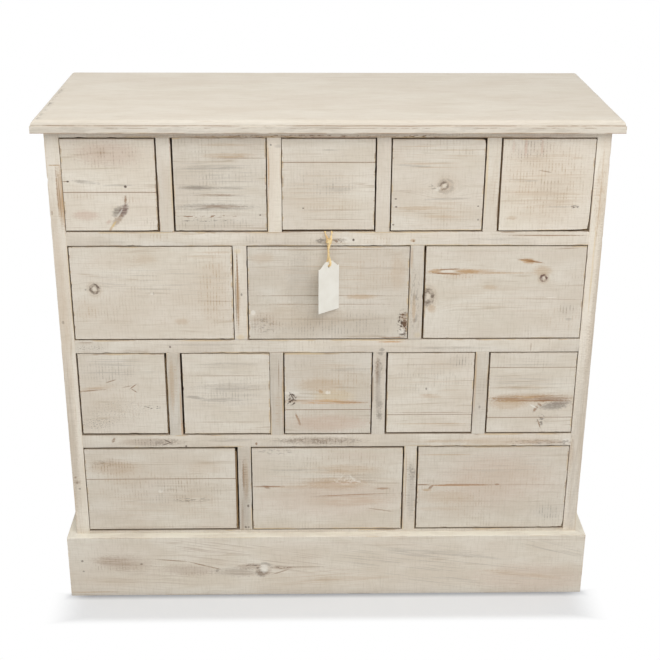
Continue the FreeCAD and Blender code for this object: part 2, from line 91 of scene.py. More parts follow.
def camera_turn():
    """The camera's rotation, from how far it looks down and aside and how far it rolls."""
    forward = Vector(
        (
            math.sin(CAMERA_ASIDE) * math.cos(CAMERA_DOWN),
            math.cos(CAMERA_ASIDE) * math.cos(CAMERA_DOWN),
            -math.sin(CAMERA_DOWN),
        )
    )
    level = Vector((math.cos(CAMERA_ASIDE), -math.sin(CAMERA_ASIDE), 0))
    down = forward.cross(level)
    right = level * math.cos(CAMERA_ROLL) + down * math.sin(CAMERA_ROLL)
    up = level * math.sin(CAMERA_ROLL) - down * math.cos(CAMERA_ROLL)
    return Matrix((right, up, -forward)).transposed().to_4x4()


camera = bpy.data.objects.new("camera", bpy.data.cameras.new("camera"))
bpy.context.scene.collection.objects.link(camera)
camera.data.sensor_width = SENSOR
camera.data.lens = LENS
camera.matrix_world = Matrix.Translation(CAMERA_PLACE) @ camera_turn()
bpy.context.scene.camera = camera
print("camera", [round(x, 3) for x in CAMERA_PLACE], "m, lens", LENS, "mm")

# %% [markdown]
# ## The raffia loop
#
# The tag hangs in a loop of raffia, a flat strip of dry palm leaf, that comes out of the gap under
# the middle drawer of the top row and goes back into it. A curve with a round bevel would look
# like wire. Here a NURBS spline takes the route's points and rounds the bends itself, its line is
# read back as points, and a flattened ring is pushed along them, one extrusion for each step. The
# ring turns and swells a little on the way, as a strip of leaf does.

# %% Read the smooth line of the loop
GAP_MIDDLE = Vector((0.0, FRONT_Y, 666.25 * MM))
LINE_STEPS = 10
# Right of the middle, out from the drawer fronts, and above the gap, in millimetres
STRING_ROUTE = (
    (-5.6, 0.0, 0.0),
    (-5.6, 3.6, -0.2),
    (-4.6, 6.6, -4.4),
    (-1.2, 7.4, -11.6),
    (-2.6, 8.2, -20.0),
    (0.2, 9.4, -31.0),
    (-1.0, 11.2, -41.0),
    (-2.4, 11.8, -47.4),
    (-1.7, 12.6, -51.2),
    (0.9, 15.8, -51.7),
    (2.9, 18.2, -49.2),
    (2.0, 17.4, -41.4),
    (-1.4, 14.4, -31.4),
    (0.6, 12.0, -21.0),
    (2.2, 9.4, -11.6),
    (4.4, 6.6, -4.4),
    (5.2, 3.6, -0.2),
    (5.2, 0.0, 0.0),
)


def smooth_line(route):
    """Points along a NURBS spline that has the route's points as its control points."""
    curve = bpy.data.curves.new("loop_line", "CURVE")
    curve.dimensions = "3D"
    curve.resolution_u = LINE_STEPS
    spline = curve.splines.new("NURBS")
    spline.points.add(len(route) - 1)
    for point, (right, out, up) in zip(spline.points, route):
        point.co = (*(GAP_MIDDLE + Vector((right, -out, up)) * MM), 1.0)
    spline.order_u = 3
    spline.use_endpoint_u = True
    holder = bpy.data.objects.new("loop_line", curve)
    mesh = bpy.data.meshes.new_from_object(holder)
    points = [vertex.co.copy() for vertex in mesh.vertices]
    bpy.data.objects.remove(holder)
    bpy.data.curves.remove(curve)
    bpy.data.meshes.remove(mesh)
    return points


loop_points = smooth_line(STRING_ROUTE)
loop_length = sum((b - a).length for a, b in zip(loop_points, loop_points[1:]))
print("loop of", len(loop_points), "points,", round(loop_length / MM, 1), "mm long")

# %% Push a flat ring along the line
STRIP_SIDES = 10
STRIP_HALF_WIDTH = 0.84 * MM
STRIP_HALF_THICKNESS = 0.54 * MM
STRIP_APART = 0.86 * MM
STRIP_TWIST = 2.2
STRIP_SWELL = 0.18


def ring_places(points, aside):
    """A place and a turn for the ring at each point, carried along without sudden twists."""
    places = []
    side = Vector((1, 0, 0))
    for number, point in enumerate(points):
        before = points[max(number - 1, 0)]
        after = points[min(number + 1, len(points) - 1)]
        ahead = (after - before).normalized()
        side = (side - ahead * side.dot(ahead)).normalized()
        share = number / (len(points) - 1)
        turn = STRIP_TWIST * math.sin(share * 13.0) + share * 5.0
        swell = 1.0 + STRIP_SWELL * noise.noise(Vector((number * 0.11, 3.7, 0.0)))
        wide = (side * math.cos(turn) + ahead.cross(side) * math.sin(turn)) * swell
        thick = ahead.cross(wide) / swell
        matrix = Matrix((wide, thick, ahead)).transposed().to_4x4()
        drift = aside * (1.0 + 0.3 * noise.noise(Vector((number * 0.07, 9.1, aside * 1000))))
        places.append(Matrix.Translation(point + wide.normalized() * drift) @ matrix)
    return places


def verts_of(grown):
    """The vertices among what an operator made."""
    return [item for item in grown if isinstance(item, bmesh.types.BMVert)]


def open_edges_of(grown):
    """The edges of the open rim among what an operator made."""
    return [item for item in grown if isinstance(item, bmesh.types.BMEdge) and item.is_boundary]


def add_fibre(bm, points, aside):
    """A closed strip with an oval section that follows the points, a little to one side."""
    verts = bmesh.ops.create_circle(bm, segments=STRIP_SIDES, radius=1.0, cap_ends=False)["verts"]
    bmesh.ops.scale(bm, vec=(STRIP_HALF_WIDTH, STRIP_HALF_THICKNESS, 1.0), verts=verts)
    places = ring_places(points, aside)
    bmesh.ops.transform(bm, matrix=places[0], verts=verts)
    rim = list(dict.fromkeys(edge for vertex in verts for edge in vertex.link_edges))
    bmesh.ops.edgeloop_fill(bm, edges=rim)
    for before, after in zip(places, places[1:]):
        grown = bmesh.ops.extrude_edge_only(bm, edges=rim)["geom"]
        bmesh.ops.transform(bm, matrix=after @ before.inverted(), verts=verts_of(grown))
        rim = open_edges_of(grown)
    bmesh.ops.edgeloop_fill(bm, edges=rim)


def twin_fibres(points):
    """Two fibres that lie side by side and turn round each other."""
    bm = bmesh.new()
    for aside in (-STRIP_APART, STRIP_APART):
        add_fibre(bm, points, aside)
    bmesh.ops.recalc_face_normals(bm, faces=bm.faces)
    return bm


def finish_piece(bm, name, body, slot, *replaced, smooth=30.0):
    """Turns a bmesh into a piece that rides on a body and stands for modelled pieces."""
    mesh = bpy.data.meshes.new(name)
    bm.to_mesh(mesh)
    bm.free()
    piece = bpy.data.objects.new(name, mesh)
    bpy.context.scene.collection.objects.link(piece)
    mesh.shade_smooth()
    mesh.set_sharp_from_angle(angle=math.radians(smooth))
    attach(piece, body)
    if replaced:
        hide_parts(*replaced)
    return piece


loop = finish_piece(twin_fibres(loop_points), "raffia_loop", "tag", "raffia", "tag_string", smooth=60.0)

# %% [markdown]
# ## The knot in the raffia
#
# A turn of the same strip is tied round both strands, a little below the gap. It is a small coil:
# one ring, spun round the strands while it climbs.

# %% Wind the knot
KNOT_TURNS = 3.2
KNOT_STEPS = 64
KNOT_CLIMB = 6.6 * MM
KNOT_RADIUS = 3.7 * MM
KNOT_STRIP = (1.2 * MM, 1.45 * MM)
KNOT_LEAN = math.radians(14)
KNOT_MIDDLE = GAP_MIDDLE + Vector((0.4, -7.9, -13.2)) * MM
QUARTER_TURN = Matrix.Rotation(math.radians(90), 3, "X")


def wound_knot():
    """A short coil round both strands."""
    bm = bmesh.new()
    bmesh.ops.create_circle(bm, segments=8, radius=1.0, cap_ends=True)
    bmesh.ops.rotate(bm, cent=(0, 0, 0), matrix=QUARTER_TURN, verts=bm.verts)
    bmesh.ops.scale(bm, vec=(KNOT_STRIP[0], 1.0, KNOT_STRIP[1]), verts=bm.verts)
    start = Vector((KNOT_RADIUS, 0, -KNOT_CLIMB / 2))
    bmesh.ops.translate(bm, vec=start, verts=bm.verts)
    bmesh.ops.spin(
        bm, geom=bm.verts[:] + bm.edges[:] + bm.faces[:], cent=(0, 0, 0), axis=(0, 0, 1),
        dvec=(0, 0, KNOT_CLIMB / KNOT_STEPS), angle=math.tau * KNOT_TURNS, steps=KNOT_STEPS,
        use_duplicate=False,
    )
    bmesh.ops.rotate(bm, cent=(0, 0, 0), matrix=Matrix.Rotation(KNOT_LEAN, 3, "Y"), verts=bm.verts)
    bmesh.ops.translate(bm, vec=KNOT_MIDDLE, verts=bm.verts)
    bmesh.ops.remove_doubles(bm, verts=bm.verts, dist=0.01 * MM)
    bmesh.ops.recalc_face_normals(bm, faces=bm.faces)
    return bm


knot = finish_piece(wound_knot(), "raffia_knot", "tag", "raffia", smooth=60.0)
print("loop and knot done")

# %% [markdown]
# ## Light
#
# The cabinet stands on a white sweep under a large soft light from the upper right, which lets the
# tag throw a soft shadow to its left. A second wide lamp lights the top board and the ledges. The
# world gives the rest, and shows as plain white behind the cabinet. That white comes from the
# light path and not from more light, so the pale wood keeps its colour.

# %% Light the cabinet
WHITE = (1.0, 1.0, 1.0, 1.0)
WORLD_STRENGTH = 0.46
KEY_PLACE = Vector((0.75, -2.0, 2.3))
KEY_SIZE = 1.5
KEY_POWER = 34.3
TOP_PLACE = Vector((-0.7, -0.5, 2.3))
TOP_SIZE = 1.6
TOP_POWER = 11.0
AIM = Vector((0, FRONT_Y, CARCASS_TOP / 2))


def soft_lamp(name, place, size, power):
    """A square area lamp that faces the middle of the front."""
    lamp = bpy.data.objects.new(name, bpy.data.lights.new(name, "AREA"))
    lamp.data.size = size
    lamp.data.energy = power
    bpy.context.scene.collection.objects.link(lamp)
    aim = (place - AIM).to_track_quat("Z", "Y").to_matrix().to_4x4()
    lamp.matrix_world = Matrix.Translation(place) @ aim
    return lamp


soft_lamp("key_light", KEY_PLACE, KEY_SIZE, KEY_POWER)
soft_lamp("top_light", TOP_PLACE, TOP_SIZE, TOP_POWER)
bpy.context.scene.view_settings.view_transform = "Standard"


# %% [markdown]
# ## Helpers for materials
#
# A node material is a small network: values come in on one side and a shader leaves on the other.
# These few helpers add one node at a time and wire it in the same line, which keeps each finish
# short enough to read.

# %% Node helpers
def fill(tree, socket, value):
    """Links a socket into an input, or sets the input to a plain value."""
    if isinstance(value, bpy.types.NodeSocket):
        tree.links.new(value, socket)
    elif value is not None:
        socket.default_value = value


def add_node(tree, kind, *inputs, **settings):
    """Adds a node, sets its options and fills its inputs in order with values or sockets."""
    made = tree.nodes.new("ShaderNode" + kind)
    for option, value in settings.items():
        setattr(made, option, value)
    for socket, value in zip(made.inputs, inputs):
        fill(tree, socket, value)
    return made


def calc(tree, operation, *inputs):
    """One step of arithmetic."""
    return add_node(tree, "Math", *inputs, operation=operation).outputs[0]


def calc_vector(tree, operation, *inputs):
    """One step of arithmetic on points."""
    return add_node(tree, "VectorMath", *inputs, operation=operation).outputs[0]


def times(tree, first, *others):
    """The product of several values."""
    for other in others:
        first = calc(tree, "MULTIPLY", first, other)
    return first


def ramp(tree, value, low, high, to_low=0.0, to_high=1.0):
    """Carries a range of a value smoothly over to another range."""
    made = add_node(
        tree, "MapRange", value, low, high, to_low, to_high, interpolation_type="SMOOTHSTEP"
    )
    return made.outputs[0]


def blend(tree, share, first, second):
    """Mixes two colours."""
    made = add_node(tree, "Mix", data_type="RGBA")
    fill(tree, made.inputs[0], share)
    fill(tree, made.inputs[6], first)
    fill(tree, made.inputs[7], second)
    return made.outputs[2]


def grain_noise(tree, point, scales, detail=2.0, roughness=0.5):
    """Noise whose spots are stretched: scales say how many fit in a metre along each axis."""
    stretched = calc_vector(tree, "MULTIPLY", point, scales)
    made = add_node(tree, "TexNoise", stretched)
    made.inputs["Scale"].default_value = 1.0
    made.inputs["Detail"].default_value = detail
    made.inputs["Roughness"].default_value = roughness
    return made.outputs[0]


def separate(tree, vector):
    """The three parts of a point."""
    return add_node(tree, "SeparateXYZ", vector).outputs


def colour(red, green, blue, shade=1.0):
    """A colour as a screen shows it, 0 to 255, turned into light."""
    parts = [min(part * shade, 255) / 255 for part in (red, green, blue)]
    return tuple(p / 12.92 if p <= 0.04 else ((p + 0.055) / 1.055) ** 2.4 for p in parts) + (1.0,)


def new_group(name, inputs, outputs):
    """An empty node group with its sockets, and its input and output nodes."""
    group = bpy.data.node_groups.new(name, "ShaderNodeTree")
    for label, kind in inputs:
        group.interface.new_socket(label, in_out="INPUT", socket_type="NodeSocket" + kind)
    for label in outputs:
        group.interface.new_socket(label, in_out="OUTPUT", socket_type="NodeSocketFloat")
    return group, group.nodes.new("NodeGroupInput"), group.nodes.new("NodeGroupOutput")


def close_group(group, out, *values):
    """Wires the values to the outputs of a group."""
    for socket, value in zip(out.inputs, values):
        group.links.new(value, socket)
    return group


def use_group(tree, group, *inputs):
    """Places a node group in a tree and fills its inputs in order."""
    made = tree.nodes.new("ShaderNodeGroup")
    made.node_tree = group
    for socket, value in zip(made.inputs, inputs):
        fill(tree, socket, value)
    return made.outputs


def new_material(name):
    """A material with an empty tree, its main shader and its output."""
    material = bpy.data.materials.new(name)
    material.use_nodes = True
    tree = material.node_tree
    tree.nodes.clear()
    shader = tree.nodes.new("ShaderNodeBsdfPrincipled")
    output = tree.nodes.new("ShaderNodeOutputMaterial")
    tree.links.new(shader.outputs[0], output.inputs["Surface"])
    return material, tree, shader


def finish_shader(tree, shader, surface, roughness, height, strength, distance):
    """Wires a shader's colour, its roughness, and fine relief from a height between nought and one."""
    bump = add_node(tree, "Bump")
    bump.inputs["Strength"].default_value = strength
    bump.inputs["Distance"].default_value = distance
    tree.links.new(height, bump.inputs["Height"])
    for socket, value in (("Base Color", surface), ("Roughness", roughness), ("Normal", bump.outputs[0])):
        tree.links.new(value, shader.inputs[socket])


# %% [markdown]
# ## World and floor
#
# The world lights evenly from all round and is seen as pure white. The floor is a white sheet. It
# takes the cabinet's shadow close to the plinth and fades into the white further out, by mixing in
# a white glow that only the camera sees. Where the plinth stands on it, the floor's colour is darker:
# a painted contact shade.

# %% White world and floor
def light_world():
    """An even pale light all round, seen as pure white by the camera."""
    world = bpy.data.worlds.new("studio")
    bpy.context.scene.world = world
    world.use_nodes = True
    tree = world.node_tree
    tree.nodes.clear()
    path = tree.nodes.new("ShaderNodeLightPath")
    seen = calc(tree, "MAXIMUM", path.outputs["Is Camera Ray"], path.outputs["Is Glossy Ray"])
    seen = calc(tree, "MAXIMUM", seen, path.outputs["Is Transmission Ray"])
    strength = calc(tree, "ADD", times(tree, seen, 1 - WORLD_STRENGTH), WORLD_STRENGTH)
    background = add_node(tree, "Background", WHITE, strength)
    output = tree.nodes.new("ShaderNodeOutputWorld")
    tree.links.new(background.outputs[0], output.inputs["Surface"])


FLOOR_HALF = 30.0
FLOOR_COLOUR = (0.845, 0.86, 0.88, 1.0)
# Painted shade: the darker colour the floor takes where the plinth stands on it
PAINTED_CONTACT_SHADE = (0.42, 0.43, 0.46, 1.0)
PAINTED_SHADE_REACH = 16 * MM
FADE_START = 62 * MM
FADE_END = 86 * MM
FADE_ASIDE = 36 * MM
FADE_BEHIND = 12 * MM


def places_round_foot(tree):
    """How far a point of the floor is in front of the plinth, and beside it."""
    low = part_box("plinth_front")[0]
    parts = separate(tree, add_node(tree, "TexCoord").outputs["Object"])
    ahead = calc(tree, "SUBTRACT", low.y, parts[1])
    beside = calc(tree, "ADD", calc(tree, "ABSOLUTE", parts[0]), low.x)
    return ahead, beside


def painted_shade_share(tree, ahead, beside):
    """Painted contact shade: 0 where the plinth meets the floor and 1 further out."""
    outward = calc(tree, "MAXIMUM", ahead, calc(tree, "MAXIMUM", beside, 0.0))
    return ramp(tree, outward, 0.0, PAINTED_SHADE_REACH)


def white_share(tree, ahead, beside):
    """How far the floor has gone over to plain white."""
    front = ramp(tree, ahead, FADE_START, FADE_END)
    aside = ramp(tree, beside, -FADE_ASIDE, FADE_ASIDE)
    past = ramp(tree, beside, -0.3 * FADE_BEHIND, 0.3 * FADE_BEHIND)
    behind = times(tree, past, ramp(tree, ahead, FADE_BEHIND, -FADE_BEHIND))
    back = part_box("plinth_front")[0].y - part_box("side_right")[1].y
    rear = ramp(tree, ahead, back, back - 2 * FADE_BEHIND)
    share = front
    for part in (aside, behind, rear):
        share = calc(tree, "MAXIMUM", share, part)
    return share


def lay_floor():
    """A white sheet that keeps a light shadow of the cabinet, with a painted contact shade at the plinth.
    """
    bm = bmesh.new()
    bmesh.ops.create_grid(bm, x_segments=1, y_segments=1, size=FLOOR_HALF)
    mesh = bpy.data.meshes.new("floor")
    bm.to_mesh(mesh)
    bm.free()
    floor = bpy.data.objects.new("floor", mesh)
    bpy.context.scene.collection.objects.link(floor)
    material, tree, shader = new_material("white_floor")
    shader.inputs["Roughness"].default_value = 1.0
    shader.inputs["Specular IOR Level"].default_value = 0.0
    ahead, beside = places_round_foot(tree)
    # Painted contact shade: the floor's colour goes darker within a short reach of the plinth's foot
    painted_contact_shade = painted_shade_share(tree, ahead, beside)
    tree.links.new(blend(tree, painted_contact_shade, PAINTED_CONTACT_SHADE, FLOOR_COLOUR), shader.inputs["Base Color"])
    path = tree.nodes.new("ShaderNodeLightPath")
    glow = add_node(tree, "Emission", WHITE, 1.0)
    share = times(tree, path.outputs["Is Camera Ray"], white_share(tree, ahead, beside))
    mixed = add_node(tree, "MixShader", share)
    tree.links.new(shader.outputs[0], mixed.inputs[1])
    tree.links.new(glow.outputs[0], mixed.inputs[2])
    output = next(n for n in tree.nodes if n.type == "OUTPUT_MATERIAL")
    tree.links.new(mixed.outputs[0], output.inputs["Surface"])
    mesh.materials.append(material)


light_world()
lay_floor()
print("floor and world done")

# %% [markdown]
# ## The figure of the wood
#
# Pine shows five things through thin limewash. Hairlines of the year rings run along the board and
# bend round knots. Short brown streaks lie where the wash was rubbed thin. There are fine fibres.
# A band saw left marks square across the grain, which show in patches where the wash caught on
# them. And the coat itself is cloudy. One node group makes them all from a point on the board,
# given as along the grain, across it, and into the board. The ring lines are the level lines of a
# stretched noise, like the lines on a map, so they run, part and close as they do in a sawn board.

# %% The figure group
RINGS_PER_SLOPE = 6.0
SAW_SPACING = 5.0 * MM
MEANDER = 30 * MM


def saw_marks(group, point, along, across):
    """Bars square across the grain: even spacing, uneven strength, and a slight lean."""
    beat = times(group, grain_noise(group, point, (22.0, 7.0, 7.0), 2.0), 8.0)
    lean = calc(group, "ADD", times(group, across, 9.0), beat)
    angle = calc(group, "ADD", times(group, along, math.tau / SAW_SPACING), lean)
    bars = ramp(group, calc(group, "SINE", angle), 0.1, 1.0)
    firm = ramp(group, grain_noise(group, point, (150.0, 62.0, 62.0), 3.0, 0.62), 0.4, 0.62)
    weave = ramp(group, grain_noise(group, point, (14.0, 330.0, 330.0), 2.0, 0.5), 0.4, 0.58, 0.3, 1.0)
    return times(group, bars, firm, weave)


def pine_figure():
    """The parts of the figure of limewashed pine, each from 0 to 1."""
    group, given, out = new_group(
        "pine_figure",
        [("Point", "Vector"), ("Warp", "Float")],
        ["Lines", "Streaks", "Fibre", "Comb", "Brush", "Patch", "Cloud", "Hue"],
    )
    point = given.outputs["Point"]
    along, across, into = separate(group, point)
    slow = grain_noise(group, point, (1.5, 6.0, 6.0), 2.0, 0.4)
    drift = times(group, calc(group, "SUBTRACT", slow, 0.5), MEANDER)
    bent_across = calc(group, "ADD", calc(group, "ADD", across, drift), given.outputs["Warp"])
    bent = add_node(group, "CombineXYZ", along, bent_across, into).outputs[0]
    growth = grain_noise(group, bent, (1.3, 58.0, 58.0), 3.0, 0.45)
    turn = calc(group, "FRACT", times(group, growth, RINGS_PER_SLOPE))
    crest = ramp(group, calc(group, "ABSOLUTE", calc(group, "SUBTRACT", turn, 0.5)), 0.075, 0.0)
    broken = ramp(group, grain_noise(group, bent, (8.0, 60.0, 60.0), 3.0, 0.6), 0.46, 0.62)
    lines = times(group, crest, broken)
    streaks = ramp(group, grain_noise(group, bent, (15.0, 430.0, 430.0), 4.0, 0.66), 0.52, 0.72)
    fibre = grain_noise(group, bent, (34.0, 1000.0, 1000.0), 3.0, 0.6)
    brush = ramp(group, grain_noise(group, point, (420.0, 48.0, 48.0), 3.0, 0.65), 0.48, 0.68)
    comb = saw_marks(group, point, along, across)
    patch = ramp(group, grain_noise(group, point, (12.0, 16.0, 16.0), 3.0, 0.6), 0.5, 0.68)
    cloud = ramp(group, grain_noise(group, point, (10.0, 26.0, 26.0), 4.0, 0.6), 0.34, 0.68)
    hue = ramp(group, grain_noise(group, point, (6.0, 12.0, 12.0), 3.0, 0.55), 0.36, 0.64)
    return close_group(group, out, lines, streaks, fibre, comb, brush, patch, cloud, hue)


PINE_FIGURE = pine_figure()


# %% [markdown]
# ## Knots, stains and worn edges
#
# A knot is where a branch grew through the board: a round core, a dark rim, and grain that swerves
# round it. Stains and cracks are the same shape stretched along the grain, so one group gives an
# oval field for all of them: nought in the middle, one on the rim. Where hands and rubbing wear a
# board, they wear it at its edges, so another group measures how far a point is from the nearest
# edge of its board. On any face of a box one of the three distances to its sides is nought, which
# makes the middle one of the three the distance to the edge.

# %% Oval and edge groups
def oval_field():
    """How far a point is from the middle of an oval, where its rim is at 1, a little ragged."""
    group, given, out = new_group(
        "oval_field",
        [
            ("Point", "Vector"), ("Middle", "Vector"), ("Reach", "Vector"), ("Turn", "Float"),
            ("Ragged", "Float"),
        ],
        ["Field"],
    )
    arm = calc_vector(group, "SUBTRACT", given.outputs["Point"], given.outputs["Middle"])
    turned = add_node(group, "VectorRotate", arm, rotation_type="Z_AXIS")
    group.links.new(given.outputs["Turn"], turned.inputs["Angle"])
    scaled = calc_vector(group, "DIVIDE", turned.outputs[0], given.outputs["Reach"])
    size = add_node(group, "VectorMath", scaled, operation="LENGTH").outputs["Value"]
    wander = grain_noise(group, given.outputs["Point"], (230.0, 420.0, 420.0), 3.0, 0.62)
    ragged = times(group, calc(group, "SUBTRACT", wander, 0.5), given.outputs["Ragged"])
    return close_group(group, out, calc(group, "ADD", size, ragged))


def edge_distance():
    """Distance from a point on a board to the nearest edge of the board, in metres."""
    group, given, out = new_group(
        "edge_distance", [("Point", "Vector"), ("Low", "Vector"), ("High", "Vector")], ["Distance"]
    )
    from_low = calc_vector(group, "SUBTRACT", given.outputs["Point"], given.outputs["Low"])
    from_high = calc_vector(group, "SUBTRACT", given.outputs["High"], given.outputs["Point"])
    across, into, up = separate(group, calc_vector(group, "MINIMUM", from_low, from_high))
    lesser = calc(group, "MINIMUM", across, into)
    greater = calc(group, "MAXIMUM", across, into)
    middle = calc(group, "MAXIMUM", lesser, calc(group, "MINIMUM", greater, up))
    return close_group(group, out, middle)


OVAL_FIELD = oval_field()
EDGE_DISTANCE = edge_distance()

# %% [markdown]
# ## The limewash
#
# The finish of one board is built up as it was on the bench: bare wood, the wash over it, what
# shows through, then knots and stains, and last the rubbed edges. Each board gets its own
# material, because each has its own grain direction, its own marks and its own place in the noise,
# so that no two boards look alike. Marks are given where they lie on the cabinet's front: to the
# right of the middle and above the floor, in millimetres.

# %% Colours of the wash and of what shows through it
# The last wash colour darkens the first millimetres inside each gap: grime and painted shade together
WASHES = {
    "thick": (228, 220, 206), "thin": (209, 196, 176), "pink": (214, 200, 184), "line": (174, 152, 124),
    "streak": (194, 179, 156), "fibre": (200, 189, 170), "saw": (182, 167, 146), "gap_grime_and_shade": (150, 120, 84),
}
TONES = {
    "tan": (190, 160, 124), "brown": (142, 106, 74), "orange": (198, 150, 98), "amber": (186, 148, 104),
    "rust": (152, 112, 74), "pink": (202, 172, 152), "grey": (150, 140, 128), "purple": (112, 86, 78),
    "dark": (86, 68, 56), "pale": (238, 232, 220), "yellow": (220, 194, 142),
}
TONES = {name: colour(*value) for name, value in TONES.items()}
RUBBED = colour(208, 180, 130)
RUBBED_DARK = colour(146, 112, 76)
SEAM_DARK = colour(140, 108, 80)
RAW = colour(206, 172, 122)
RAW_DARK = colour(170, 128, 80)
# How ragged the rim of each kind of mark is
RAGGED = {
    "knot": 0.9, "stain": 1.2, "band": 1.0, "crack": 0.9, "dot": 0.5, "hatch": 0.9, "lines": 0.6,
    "specks": 0.7, "dashes": 0.7, "blots": 0.9,
}
GRAINS = {"level": (0, 2, 1), "upright": (2, 0, 1), "deep": (1, 2, 0), "flat": (0, 1, 2)}
FACES = {"front": (0, 2), "side": (1, 2), "top": (0, 1)}
Mark = namedtuple("Mark", "kind right up length height turn tone strength")
Sheet = namedtuple("Sheet", "tree flat point figure streaky")


def picked(tree, parts, axes):
    """A point made of some of another point's parts, in a new order."""
    chosen = [parts[axis] for axis in axes]
    return add_node(tree, "CombineXYZ", *chosen).outputs[0]


def oval(sheet, mark):
    """The oval field of one mark."""
    middle = (mark.right * MM, mark.up * MM, 0.0)
    reach = (mark.length * MM / 2, mark.height * MM / 2, 1.0)
    turn = math.radians(-mark.turn)
    return use_group(sheet.tree, OVAL_FIELD, sheet.flat, middle, reach, turn, RAGGED[mark.kind])[0]


def lay_knot(sheet, mark, surface, height):
    """A knot: a pale core, a rim that is dark on one side, and faint rings round it."""
    tree = sheet.tree
    field = oval(sheet, mark)
    uneven = ramp(tree, grain_noise(tree, sheet.flat, (150.0, 150.0, 150.0), 2.0), 0.4, 0.6, 0.25, 1.0)
    halo = times(tree, ramp(tree, field, 2.3, 0.9), 0.35 * mark.strength)
    rim = times(tree, ramp(tree, field, 0.35, 0.8), ramp(tree, field, 1.4, 0.95), uneven)
    wave = ramp(tree, calc(tree, "SINE", times(tree, field, 13.0)), 0.0, 1.0)
    rings = times(tree, wave, ramp(tree, field, 2.1, 0.8), ramp(tree, field, 0.8, 1.2))
    core = ramp(tree, field, 0.7, 0.3)
    surface = blend(tree, halo, surface, TONES["tan"])
    surface = blend(tree, times(tree, rings, 0.55 * mark.strength), surface, TONES["grey"])
    surface = blend(tree, times(tree, core, 0.45 * mark.strength), surface, TONES["pale"])
    surface = blend(tree, times(tree, rim, min(1.1 * mark.strength, 1.0)), surface, TONES[mark.tone])
    return surface, calc(tree, "SUBTRACT", height, times(tree, rim, 0.6))


def lay_stain(sheet, mark, surface, height):
    """A blotch with a ragged rim, a little streaked inside."""
    tree = sheet.tree
    threads = ramp(tree, sheet.streaky, 0.35, 0.6, 0.6, 1.0)
    cover = times(tree, ramp(tree, oval(sheet, mark), 1.2, 0.45), threads)
    return blend(tree, times(tree, cover, 0.9 * mark.strength), surface, TONES[mark.tone]), height


def lay_band(sheet, mark, surface, height):
    """A long blotch that shows mostly in streaks along the grain."""
    tree = sheet.tree
    field = ramp(tree, oval(sheet, mark), 1.2, 0.35)
    threads = ramp(tree, sheet.streaky, 0.4, 0.6, 0.3, 1.0)
    cover = times(tree, field, threads, 0.8 * mark.strength)
    return blend(tree, cover, surface, TONES[mark.tone]), height


def lay_crack(sheet, mark, surface, height):
    """A sharp line, a nail hole or a pale chip."""
    tree = sheet.tree
    broken = ramp(tree, sheet.streaky, 0.3, 0.5, 0.45, 1.0) if mark.kind == "crack" else 1.0
    cover = times(tree, ramp(tree, oval(sheet, mark), 1.25, 0.65), broken)
    cover = times(tree, cover, min(mark.strength, 1.0))
    deeper = calc(tree, "SUBTRACT", height, times(tree, cover, 0.8))
    return blend(tree, cover, surface, TONES[mark.tone]), deeper


FLECKS = {
    "specks": ((420.0, 560.0, 560.0), 0.56, 0.64),
    "dashes": ((130.0, 520.0, 520.0), 0.53, 0.61),
    "blots": ((190.0, 230.0, 230.0), 0.48, 0.56),
}


def lay_flecks(sheet, mark, surface, height):
    """Scattered specks, short dashes along the grain, or irregular blots."""
    tree = sheet.tree
    field = ramp(tree, oval(sheet, mark), 1.2, 0.6)
    scales, low, high = FLECKS[mark.kind]
    shift = (0.37 * (sum(ord(letter) for letter in mark.tone) % 7), 0.11, 0.23)
    shifted = calc_vector(tree, "ADD", sheet.point, shift)
    flecks = ramp(tree, grain_noise(tree, shifted, scales, 2.0, 0.6), low, high)
    cover = times(tree, field, flecks, mark.strength)
    return blend(tree, cover, surface, TONES[mark.tone]), height


def lay_hatch(sheet, mark, surface, height):
    """A patch where the saw's bars caught the wash."""
    tree = sheet.tree
    field = times(tree, ramp(tree, oval(sheet, mark), 1.2, 0.4), mark.strength)
    tint = blend(tree, times(tree, field, 0.14), surface, TONES[mark.tone])
    cover = times(tree, field, sheet.figure["Comb"], 0.7)
    sunk = calc(tree, "SUBTRACT", height, times(tree, cover, 0.4))
    return blend(tree, cover, tint, TONES[mark.tone]), sunk


def lay_lines(sheet, mark, surface, height):
    """A patch of fine parallel hairlines."""
    tree = sheet.tree
    field = times(tree, ramp(tree, oval(sheet, mark), 1.2, 0.5), mark.strength)
    aslant = add_node(tree, "VectorRotate", sheet.point, rotation_type="Z_AXIS")
    aslant.inputs["Angle"].default_value = math.radians(-mark.turn)
    hairs = ramp(tree, grain_noise(tree, aslant.outputs[0], (9.0, 480.0, 480.0), 2.0, 0.5), 0.54, 0.64)
    return blend(tree, times(tree, field, hairs, 0.6), surface, TONES[mark.tone]), height


LAYERS = {
    "knot": lay_knot, "stain": lay_stain, "band": lay_band, "hatch": lay_hatch, "lines": lay_lines,
    "crack": lay_crack, "dot": lay_crack, "specks": lay_flecks, "dashes": lay_flecks, "blots": lay_flecks,
}


def swerve(tree, flat, marks, across_index):
    """How far knots push the grain aside at a point."""
    warp = 0.0
    for mark in marks:
        if mark.kind != "knot":
            continue
        middle = (mark.right * MM, mark.up * MM, 0.0)
        reach = [mark.length * MM * 0.5, mark.height * MM * 0.5, 1.0]
        reach[1 - across_index] *= 1.9
        field = use_group(tree, OVAL_FIELD, flat, middle, tuple(reach), 0.0, 0.0)[0]
        side = separate(tree, calc_vector(tree, "SUBTRACT", flat, middle))[across_index]
        warp = calc(tree, "ADD", times(tree, side, ramp(tree, field, 3.4, 0.0), -0.85), warp)
    return warp


